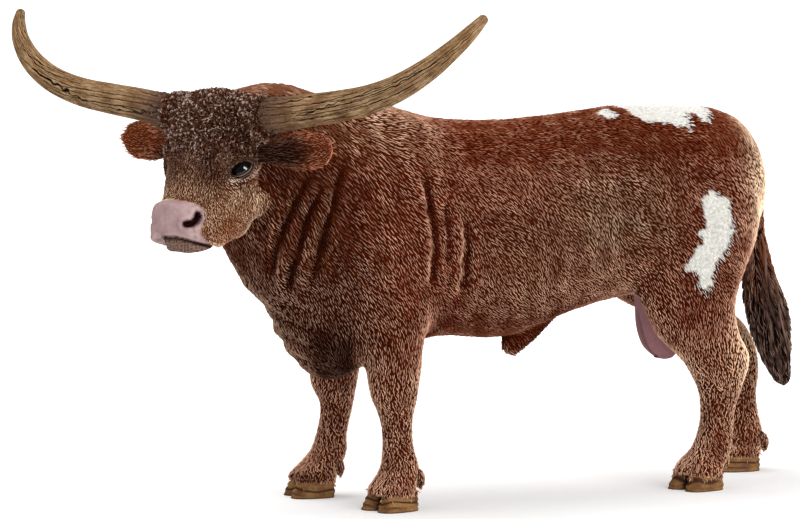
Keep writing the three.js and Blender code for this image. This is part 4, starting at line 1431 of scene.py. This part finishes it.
def strokes(roots, normals, ways, size, sidePaint, tipPaint, stations=2):
    # closed little ridges: a root, stations of left, right and crest, then the tip; width and
    # height run as sin(pi t)^0.6
    count = len(roots)
    ways = unit(ways - (ways * normals).sum(1, keepdims=True) * normals)
    sides = np.cross(normals, ways)
    names = ("length", "width", "height", "lift", "bend")
    length, width, height, lift, bend = (np.broadcast_to(size[k], count)[:, None] for k in names)

    def place(t, out, up):
        curve = sides * bend * length * (t**2 - 0.5 * t)
        rise = up + lift * t**1.5 - 0.08
        return roots + ways * length * t + curve + sides * out + normals * rise

    rings = [place(0.0, 0, 0.02)]
    shades = [0.0]  # from the sides' paint at 0 to the crest's at 1
    for t in (np.arange(stations) + 0.9) / (stations + 0.7):
        full = math.sin(math.pi * min(t + 0.06, 1)) ** 0.6
        rings += [place(t, 0.5 * full * width, 0), place(t, -0.5 * full * width, 0)]
        rings.append(place(t, 0, full * height))
        shades += [0.05, 0.05, 0.85 + 0.15 * t]
    rings.append(place(1.0, 0, 0.02))
    shades.append(0.7)
    points = np.stack(rings, 1)
    faces = [(0, 1, 2), (0, 3, 1), (0, 2, 3)]
    for left in range(1, 3 * stations - 2, 3):
        right, crest, nextLeft, nextRight, nextCrest = (left + k for k in range(1, 6))
        faces += [(left, nextLeft, right), (nextLeft, nextRight, right)]
        faces += [(crest, nextCrest, left), (nextCrest, nextLeft, left)]
        faces += [(crest, right, nextCrest), (nextCrest, right, nextRight)]
    left, right, crest, tip = (3 * stations + k for k in (-2, -1, 0, 1))
    faces += [(tip, right, left), (tip, left, crest), (tip, crest, right)]
    each = points.shape[1]
    triangles = (np.arange(count)[:, None, None] * each + np.array(faces)[None]).reshape(-1, 3)
    share = np.array(shades)[None, :] * np.ones((count, 1))
    colour = mix(sidePaint[:, None, :], tipPaint[:, None, :], share)
    return points.reshape(-1, 3), triangles, colour.reshape(-1, 3)


def coatPiece(name, roots, made, unwrap):
    # one coat mesh, whose OFBake map has each stroke as a patch 0.003 wide at its root's place
    points, triangles, colour = made
    thing = addPiece(name, points, triangles, colour, coatPaintwork, smooth=False, slot="coat")
    each = len(points) // len(roots)
    place = unwrap(roots)
    low, high = place.min(0), place.max(0)
    place = 0.01 + 0.975 * (place - low) / np.maximum(high - low, 1e-6)
    corner = 0.003 * rng.random((each, 2))
    uv = (place[:, None, :] + corner[None]).reshape(-1, 2)
    layer = thing.data.uv_layers.new(name="OFBake")
    layer.data.foreach_set("uv", uv[triangles.ravel()].astype(np.float32).ravel())


def barrelUnwrap(centre, along):
    # the skin rolled off its own axis: the angle about it, and the way along it
    along = unit(np.asarray(along, float))
    across = unit(np.cross(along, [0.3, 0.1, 1.0] if abs(along[2]) < 0.9 else [1.0, 0, 0]))
    over = np.cross(along, across)

    def unwrap(points):
        way = points - centre
        return np.stack([np.arctan2(way @ across, way @ over), way @ along], 1)

    return unwrap


def bodyFlow(points, normals):
    # down and back on the flanks, back along the spine, straight down on legs and tail
    x, y, z = points.T
    hand, flat = np.sign(x), 0 * x
    flank = np.stack([0.1 * hand, 0.66 + flat, -0.78 + flat], 1)
    spine = np.stack([0.35 * hand * ramp(np.abs(x), 0, 6), 1 + flat, flat], 1)
    way = mix(flank, spine, ramp(normals[:, 2], 0.55, 0.95))
    neckWay = np.stack([flat, 0.62 + flat, -0.8 + flat], 1)
    way = mix(way, neckWay, 0.8 * ramp(y, -14, -24))
    rumpWay = np.stack([0.1 * hand, 0.35 + flat, -0.95 + flat], 1)
    way = mix(way, rumpWay, ramp(y, 56, 70))
    down = np.stack([flat, 0.12 + flat, -1 + flat], 1)
    foreArm = ramp(np.abs(y + 10), 12, 8) * ramp(np.abs(x), 6, 9)
    way = mix(way, down, ramp(z, 44, 28) * np.maximum(ramp(y, 34, 46), foreArm))
    way = mix(way, down, ramp(z, 26, 20))
    return unit(turned(way, normals, 0.22 * mottle(points, 14, 4)))


def brushed(paint, brush, white=0.0):
    # colours of a stroke's sides and of its crest
    white = np.asarray(white) * np.ones(len(paint))
    side = paint * mix(np.array(fur["side"]), np.array(fur["whiteGap"]), white)
    grey = (paint @ [0.21, 0.72, 0.07])[:, None] * fur["pale"]
    light = fur["lift"] * mix(paint, grey, fur["paleShare"])
    return side, mix(mix(paint * 1.4, light, brush), paint, white)


# How much more or less light paint the crests take, and where in shareAt's terms
dryBrushing = [
    (0.5, "z 27 ~9, y 52 60"),  # hocks
    (0.15, "z 34 24"),  # legs
    (0.5, "y 63 70, y 77 71, z 30 42"),  # rump
    (-0.55, "z 60 68, y -2 6"),  # back
    (-0.7, "z 40 31, y -4 4, y 46 38"),  # belly
    (-0.45, "y -15 -23, z 40 48"),  # neck
    (-0.2, "z 62 70, y 2 -8"),  # withers
    # less light paint on the brisket: painted shade
    (-0.5, brisketPaintedShade),
    # less light paint in the folds: painted shade
    (-0.4, "furrow 0.2 0.9"),
]


zoneCuts = [-24, -16, -9, -1, 7, 16, 25, 34, 43, 52, 61]  # y between the trunk's coat pieces


def dryness(points):
    places = bodyPlaces(points)
    places["furrow"] = foldsAt(points)[0]
    return sum(amount * shareAt(places, where) for amount, where in dryBrushing)


def bodyCoat():
    points, triangles = body
    z = points[:, 2]
    # none where the head's shell or the hooves cover the skin
    along, lift, across = headPlace(points)
    covered = ramp(along, -3, -1) * ramp(along, 20, 16) * ramp(lift, -9, -6) * (np.abs(across) < 8)
    density = (1 - 0.97 * covered) * ramp(z, 2.9, 3.2) * (1 + 0.5 * ramp(z, 30, 18))
    roots, normals = scatter(points, triangles, density, fur["candidates"])
    ways = bodyFlow(roots, normals)
    y, z = roots[:, 1], roots[:, 2]
    size = 1 + 0.3 * ramp(y, -2, -14) * ramp(z, 44, 56)  # longer on shoulder and neck
    size *= 1 - 0.22 * ramp(z, 30, 20)
    long, across = fur["long"] * size, fur["across"] * size
    roots, normals, ways, kept = evenly(roots, normals, ways, long, across)
    x, y, z = roots.T
    count = len(roots)
    curly = 1 + 2.2 * ramp(z, 30, 18)
    ways = turned(ways, normals, curly * rng.normal(0, fur["spread"], count))
    size = size[kept] * rng.uniform(0.8, 1.15, count)
    sizes = {
        "length": fur["length"] * size,
        "width": fur["width"] * size**0.5,
        "height": fur["height"] * size * rng.uniform(0.7, 1.2, count),
        "lift": np.full(count, 0.08),
        "bend": curly * rng.normal(0, 0.09, count),
    }
    brush = rng.normal(fur["brush"], fur["brushSpread"], count)
    brush = np.clip(brush + 0.25 * mottle(roots, 5) + dryness(roots), 0.03, 1.2)
    sidePaint, tipPaint = brushed(coatPaint(roots), brush, whiteShare(roots))
    # twelve pieces along the trunk, and four for the legs
    zone = np.digitize(y, zoneCuts)
    zone = np.where(z < 26, 12 + (x < 0) + 2 * (y > 20), zone)
    for k in range(16):
        picked = np.flatnonzero(zone == k)
        made = strokes(
            roots[picked],
            normals[picked],
            ways[picked],
            {key: value[picked] for key, value in sizes.items()},
            sidePaint[picked],
            tipPaint[picked],
        )
        unwrap = barrelUnwrap(roots[picked].mean(0), (0, 0, 1) if k > 11 else (0, 1, 0))
        coatPiece(f"coat_{k:02d}", roots[picked], made, unwrap)
    print("body strokes", count, "largest piece", np.bincount(zone).max() * 12, "triangles")


footFur = {
    "roots": 1800,  # tried on each claw
    "apart": (0.65, 0.27),  # along the flow and across it
    "length": (0.7, 1.1),
    "width": 0.2,
    "height": 0.2,
    "brush": (0.6, 0.25),  # mean and spread
}


def footCoat():
    # short strokes that run down over the tops of the hooves and the dewclaws
    def downAndOut(roots, centre):
        return unit((roots - centre) * [1, 1, 0]) * 0.1 - [0, 0, 1.0]

    roots, normals, ways = gather(footSkins, footFur["roots"], downAndOut)
    ways = unit(ways - (ways * normals).sum(1, keepdims=True) * normals)
    roots, normals, ways, _ = evenly(roots, normals, ways, *footFur["apart"])
    count = len(roots)
    sizes = {
        "length": rng.uniform(*footFur["length"], count),
        "width": footFur["width"],
        "height": footFur["height"],
        "lift": 0.0,
        "bend": rng.normal(0, 0.12, count),
    }
    ways = turned(ways, normals, rng.normal(0, 0.2, count))
    brush = np.clip(rng.normal(*footFur["brush"], count), 0.08, 1)
    made = strokes(roots, normals, ways, sizes, *brushed(coatPaint(roots), brush))
    coatPiece("coat_feet", roots, made, barrelUnwrap(roots.mean(0), (0, 1, 0)))
    print("foot strokes", count)


faceFur = {
    "roots": 80000,
    "size": 0.68,  # of the strokes against those of the body, and how much more on the brow
    "browSize": 0.16,
    "closer": 0.8,  # spacing by the flow against the body's
    "spread": 0.22,
    "brush": (0.5, 0.22),
}


def faceCoat():
    points, triangles = head
    along, lift, _ = headPlace(points)
    bare = np.maximum(ramp(pinkShare(points), 0.1, 0.5), lipShare(points))
    bare = np.maximum(bare, ramp(lidPlace(points)[0], 1.3, 1.18))
    hidden = ramp(lift, -9.5, -11) * ramp(along, 12, 4)
    crown = ramp(along, 9, 6.5) * ramp(lift, -5, -1)
    density = (1 - bare) * (1 - 0.8 * hidden) * (1 - 0.85 * crown)
    density = np.where(bare > 0.5, 0, density)
    roots, normals = scatter(points, triangles, density, faceFur["roots"])
    along, lift, across = headPlace(roots)
    front = ramp(lift, 1.5, 3.5)[:, None]
    way = (0.55 * faceDown - 0.85 * faceFront) * (1 - front)
    way = way + front * (faceDown + 0.25 * np.sign(across)[:, None] * faceSide)
    way = turned(unit(way), normals, 0.4 * mottle(roots, 7))
    size = faceFur["size"] + faceFur["browSize"] * ramp(along, 16, 8)
    long, wide = faceFur["closer"] * fur["long"] * size, fur["across"] * size
    roots, normals, way, kept = evenly(roots, normals, way, long, wide)
    along, lift, _ = headPlace(roots)
    count = len(roots)
    way = turned(way, normals, rng.normal(0, faceFur["spread"], count))
    q, t = lidPlace(roots)
    brow = ramp(q, 3.2, 1.6) * ramp(t, -0.5, 0.1)  # shorter where they would hang over the eye
    size = size[kept] * rng.uniform(0.8, 1.15, count)
    sizes = {
        "length": fur["length"] * size * (0.9 - 0.45 * brow),
        "width": fur["width"] * size**0.6,
        "height": 0.85 * fur["height"] * size,
        "lift": 0.08,
        "bend": rng.normal(0, 0.2, count),
    }
    jaw = ramp(along, 15, 20) * ramp(lift, 0, -5)
    brush = rng.normal(*faceFur["brush"], count) + 0.2 * mottle(roots, 4)
    brush = np.clip(brush - 0.3 * jaw, 0.05, 1)
    rosy = ramp(t, 0, -0.8) * ramp(q, 2.6, 2.0)
    paint = mix(facePaint(roots), paints["lidRosy"], 0.7 * rosy)
    made = strokes(roots, normals, way, sizes, *brushed(paint, brush))
    coatPiece("coat_face", roots, made, barrelUnwrap(onHead(12, -2), faceDown))
    print("face strokes", count)


pollFur = {
    "roots": 70000,
    "apart": (0.27, 0.27),
    "length": (0.45, 0.8),
    "width": (0.12, 0.19),
    "height": (0.25, 0.6),
    "lift": (0.05, 0.5),
    "bend": (0.1, 0.8),
    "crest": (2.6, 2.4, 2.2),  # how much lighter the crests are than the sprayed colour
    "rareLight": 5,  # the higher, the fewer curls are brushed light
}


def pollCurls():
    # crisp curls: bent blades of three stations that start in any direction and stand off
    points, triangles = head
    along, lift, across = headPlace(points)
    crown = ramp(along + 1.5 * mottle(points, 4), 12.5, 6.5) * ramp(lift, -7, -3)
    collar = ramp(np.abs(across), 13.2, 12)
    crown = crown * ramp(lidPlace(points)[0], 1.7, 2.1)
    roots, normals = scatter(points, triangles, crown * collar, pollFur["roots"])
    ways = np.broadcast_to(faceSide, roots.shape) + 0.01
    roots, normals, ways, _ = evenly(roots, normals, ways, *pollFur["apart"])
    along, _, across = headPlace(roots)
    count = len(roots)
    ways = turned(ways, normals, rng.uniform(0, 2 * np.pi, count))
    tall = ramp(along, 12, 4)
    sizes = {
        "length": rng.uniform(*pollFur["length"], count) * (0.8 + 0.2 * tall),
        "width": rng.uniform(*pollFur["width"], count),
        "height": rng.uniform(*pollFur["height"], count) * (0.5 + 0.5 * tall),
        "lift": rng.uniform(*pollFur["lift"], count) * (0.3 + 0.7 * tall),
        "bend": rng.choice([-1, 1], count) * rng.uniform(*pollFur["bend"], count),
    }
    paint = facePaint(roots)
    brush = 2.2 * rng.random(count) ** pollFur["rareLight"] + 0.05 * mottle(roots, 2.5)
    brush = np.clip(brush, 0.0, 1)
    brush *= 0.6 + 0.4 * ramp(np.abs(across), 13, 7)
    tips = mix(paint * pollFur["crest"], paints["curlTip"], brush * (0.5 + 0.5 * tall))
    made = strokes(roots, normals, ways, sizes, paint * fur["side"], tips, 4)
    coatPiece("coat_poll", roots, made, barrelUnwrap(onHead(2, 0), faceSide))
    print("poll curls", count)


collarFur = {
    "roots": 3500,
    "apart": (0.6, 0.26),
    "length": (0.6, 1.1),
    "width": 0.2,
    "height": (0.12, 0.3),
    "spread": 0.5,
    "brush": (0.45, 0.3),
}


def hornCollar():
    # short strokes that run out from the head over the roots of the horns and thin out
    def outAlong(roots, hand):
        return np.broadcast_to(hand * axes(toy["headYaw"], 0)[1], roots.shape)

    roots, normals, ways = gather(hornBases, collarFur["roots"], outAlong)
    roots, normals, ways, _ = evenly(roots, normals, ways, *collarFur["apart"])
    count = len(roots)
    reach = np.abs((roots - poll) @ faceSide)
    sizes = {
        "length": rng.uniform(*collarFur["length"], count),
        "width": collarFur["width"],
        "height": rng.uniform(*collarFur["height"], count) * ramp(reach, 20, 13),
        "lift": 0.04,
        "bend": rng.normal(0, 0.4, count),
    }
    ways = turned(ways, normals, rng.normal(0, collarFur["spread"], count))
    paint = mix(paints["darkPoll"], toLinear(horn["colours"][3]) * 0.7, ramp(reach, 12, 16))
    brush = np.clip(rng.normal(*collarFur["brush"], count), 0.03, 1)[:, None]
    tips = paint * 1.3 * (1 - brush) + paints["curlTip"] * 0.4 * brush
    made = strokes(roots, normals, ways, sizes, paint * 0.6, tips)
    coatPiece("coat_horn_roots", roots, made, barrelUnwrap(roots.mean(0), faceSide))
    print("horn root strokes", count)


switchFur = {
    "roots": 19000,
    "apart": (1.1, 0.27),
    "length": (1.6, 3.0),
    "width": (0.16, 0.26),
    "height": (0.2, 0.4),
    "lift": (0.1, 0.7),
    "spread": 0.12,
}


def switchCoat():
    # long fine strokes that wave down the tail switch, rusty above and dark below
    points, triangles = shell(switchCore())
    density = ramp(points[:, 2], 48.5, 46.5)
    roots, normals = scatter(points, triangles, density, switchFur["roots"])
    ways = unit(np.array([0, 0.22, -1.0]) + 0 * roots)
    waves = 0.3 * mottle(roots * [1, 1, 0.6], 1.8)
    ways = turned(ways, normals, waves + rng.normal(0, switchFur["spread"], len(roots)))
    roots, normals, ways, _ = evenly(roots, normals, ways, *switchFur["apart"])
    z = roots[:, 2]
    count = len(roots)
    sizes = {
        "length": rng.uniform(*switchFur["length"], count) * (0.4 + 0.6 * ramp(z, 18, 23)),
        "width": rng.uniform(*switchFur["width"], count),
        "height": rng.uniform(*switchFur["height"], count),
        "lift": rng.uniform(*switchFur["lift"], count) * ramp(z, 47, 36) * ramp(z, 18, 24),
        "bend": rng.normal(0, 0.16, count),
    }
    dark, light, _, rust = (toLinear(x) for x in switch["colours"])
    height = z + mottle(roots, 3)
    paint = mix(dark, rust, ramp(height, 34, 42))
    paint = mix(paint, paints["redBrown"] * 1.2, ramp(height, 40, 46))
    brush = np.clip(1.3 * rng.random(count) ** 2, 0.02, 1)
    tips = mix(paint * 1.6, light * 1.7, brush)
    made = strokes(roots, normals, ways, sizes, paint * 0.4, tips, 3)
    coatPiece("coat_switch", roots, made, barrelUnwrap(roots.mean(0), (0, 0, 1)))
    print("switch strokes", count)


earFur = {
    "roots": 9000,
    "apart": (0.7, 0.28),
    "length": (0.8, 1.2),
    "width": 0.2,
    "height": 0.14,
    "spread": 0.25,
    "brush": 0.6,
}


def earCoat(side):
    points, triangles, shape = ears[side]
    roots, normals = scatter(points, triangles, 1 - 0.3 * shape["inner"], earFur["roots"])
    way = unit(np.broadcast_to(shape["forward"], roots.shape) + [0, 0, -0.15])
    roots, normals, way, _ = evenly(roots, normals, way, *earFur["apart"])
    out = (roots - onHead(*earRoot)) @ shape["forward"]
    count = len(roots)
    way = turned(way, normals, rng.normal(0, earFur["spread"], count))
    inner = ramp((normals * shape["face"]).sum(1), 0.1, 0.5) * ramp(out, 24, 20)
    # strokes in the cup take its dark paint, partly painted shade
    paint = earPaint({"out": np.clip((out - 7) / earLength, 0, 1), "inner": 0.8 * inner})
    sizes = {
        "length": rng.uniform(*earFur["length"], count) * (1 + 0.4 * inner),
        "width": earFur["width"],
        "height": earFur["height"],
        "lift": 0.02 + 0.15 * inner,
        "bend": rng.normal(0, 0.2, count),
    }
    made = strokes(roots, normals, way, sizes, *brushed(paint, earFur["brush"] * rng.random(count)))
    coatPiece(f"coat_ear_{side}", roots, made, barrelUnwrap(points.mean(0), shape["forward"]))


bodyCoat()
footCoat()
faceCoat()
pollCurls()
hornCollar()
switchCoat()
for side in ears:
    earCoat(side)

print("floor, lights and camera")
studio = {
    "floor": "#f4f4f4",
    "floorSize": 14000,
    "distance": 900,
    "target": (-4.4, 0, 45),
    "focal": 214.65,  # mm on a sensor 36 wide
    # lifts the floor to the white of a lit studio sweep: two distances in m and the glow there
    "floorGlow": (0.09, 0.5, 0.2, 0.85),
    "skyLight": 0.62,
    "mirroredSky": 0.06,  # black flags round the set keep reflections of the sky off the gloss
}
floorWide = studio["floorSize"]
corners = np.array([(-1, -1, 0), (1, -1, 0), (1, 1, 0), (-1, 1, 0)]) * floorWide / 2 + middle
floor = newMesh("floor", corners, np.array([(0, 1, 2), (0, 2, 3)]))
paper = bpy.data.materials.new("matt_white_paper")
paper.use_nodes = True
tree = paper.node_tree
shader = tree.nodes["Principled BSDF"]
shader.inputs["Base Color"].default_value = (*toLinear(studio["floor"]), 1)
shader.inputs["Roughness"].default_value = 0.9
shader.inputs["Emission Color"].default_value = (1, 1, 1, 1)
sight = addNode(tree, "ShaderNodeLightPath").outputs["Is Camera Ray"]
place = addNode(tree, "ShaderNodeTexCoord").outputs["Object"]
far = addNode(tree, "ShaderNodeVectorMath", {"operation": "LENGTH"}, {"Vector": place})
reach = dict(zip(("From Min", "From Max", "To Min", "To Max"), studio["floorGlow"]))
spread = addNode(tree, "ShaderNodeMapRange", reach, {"Value": far.outputs["Value"]})
glow = addNode(tree, "ShaderNodeMath", {"operation": "MULTIPLY"}, {"Value": sight})
tree.links.new(spread.outputs["Result"], glow.inputs[1])
tree.links.new(glow.outputs["Value"], shader.inputs["Emission Strength"])
floor.data.materials.append(paper)
floor.visible_glossy = False

aim = np.array(studio["target"]) - middle


def stand(name, data, right, up, back, place):
    # a camera or lamp that looks against back, with its place in mm
    thing = bpy.data.objects.new(name, data)
    bpy.context.scene.collection.objects.link(thing)
    rows = np.eye(4)
    rows[:3] = np.column_stack([right, up, back, place * 0.001])
    thing.matrix_world = Matrix(rows.tolist())
    return thing


cameraData = bpy.data.cameras.new("camera")
cameraData.sensor_width = 36
cameraData.lens = studio["focal"]
cameraData.clip_start, cameraData.clip_end = 0.01, 20
eyePoint = aim + studio["distance"] * seenBack
bpy.context.scene.camera = stand("camera", cameraData, seenRight, seenUp, seenBack, eyePoint)

lamps = {
    # right, towards the viewer and up of the toy's middle, in mm; metres wide and high; watts
    "key": {"place": (-280, -100, 700), "size": (0.8, 0.8), "roll": 0, "power": 4.1},
    "fill": {"place": (480, 560, 260), "size": (0.62, 0.32), "roll": -35, "power": 3.4},
    "rim": {"place": (650, -160, 330), "size": (0.5, 0.5), "roll": 0, "power": 0.5},
}
flatBack = np.array([np.sin(turn), -np.cos(turn), 0.0])
for name, lamp in lamps.items():
    light = bpy.data.lights.new(name, "AREA")
    light.shape = "RECTANGLE"
    light.size, light.size_y = lamp["size"]
    light.energy = lamp["power"]
    across, near, high = lamp["place"]
    at = aim + across * seenRight + near * flatBack + np.array([0, 0, high])
    back = unit(at - aim)
    level = unit(np.cross([0, 0, 1.0], back))
    roll = math.radians(lamp["roll"])
    right = math.cos(roll) * level + math.sin(roll) * np.cross(back, level)
    thing = stand(name, light, right, np.cross(back, right), back, at)
    thing.visible_glossy = name == "fill"  # the one lamp mirrored in the eyes

world = bpy.data.worlds.new("studio")
bpy.context.scene.world = world
world.use_nodes = True
backdrop = world.node_tree.nodes["Background"]
backdrop.inputs["Color"].default_value = (1, 1, 1, 1)
rays = addNode(world.node_tree, "ShaderNodeLightPath").outputs
dimmed = addNode(
    world.node_tree,
    "ShaderNodeMapRange",
    {"To Min": studio["skyLight"], "To Max": studio["mirroredSky"]},
    {"Value": rays["Is Glossy Ray"]},
)
seenSky = {"Value": rays["Is Camera Ray"]}
glow = addNode(world.node_tree, "ShaderNodeMapRange", {"To Max": 1.0}, seenSky)
world.node_tree.links.new(dimmed.outputs["Result"], glow.inputs["To Min"])
world.node_tree.links.new(glow.outputs["Result"], backdrop.inputs["Strength"])
bpy.context.scene.view_settings.view_transform = "Standard"

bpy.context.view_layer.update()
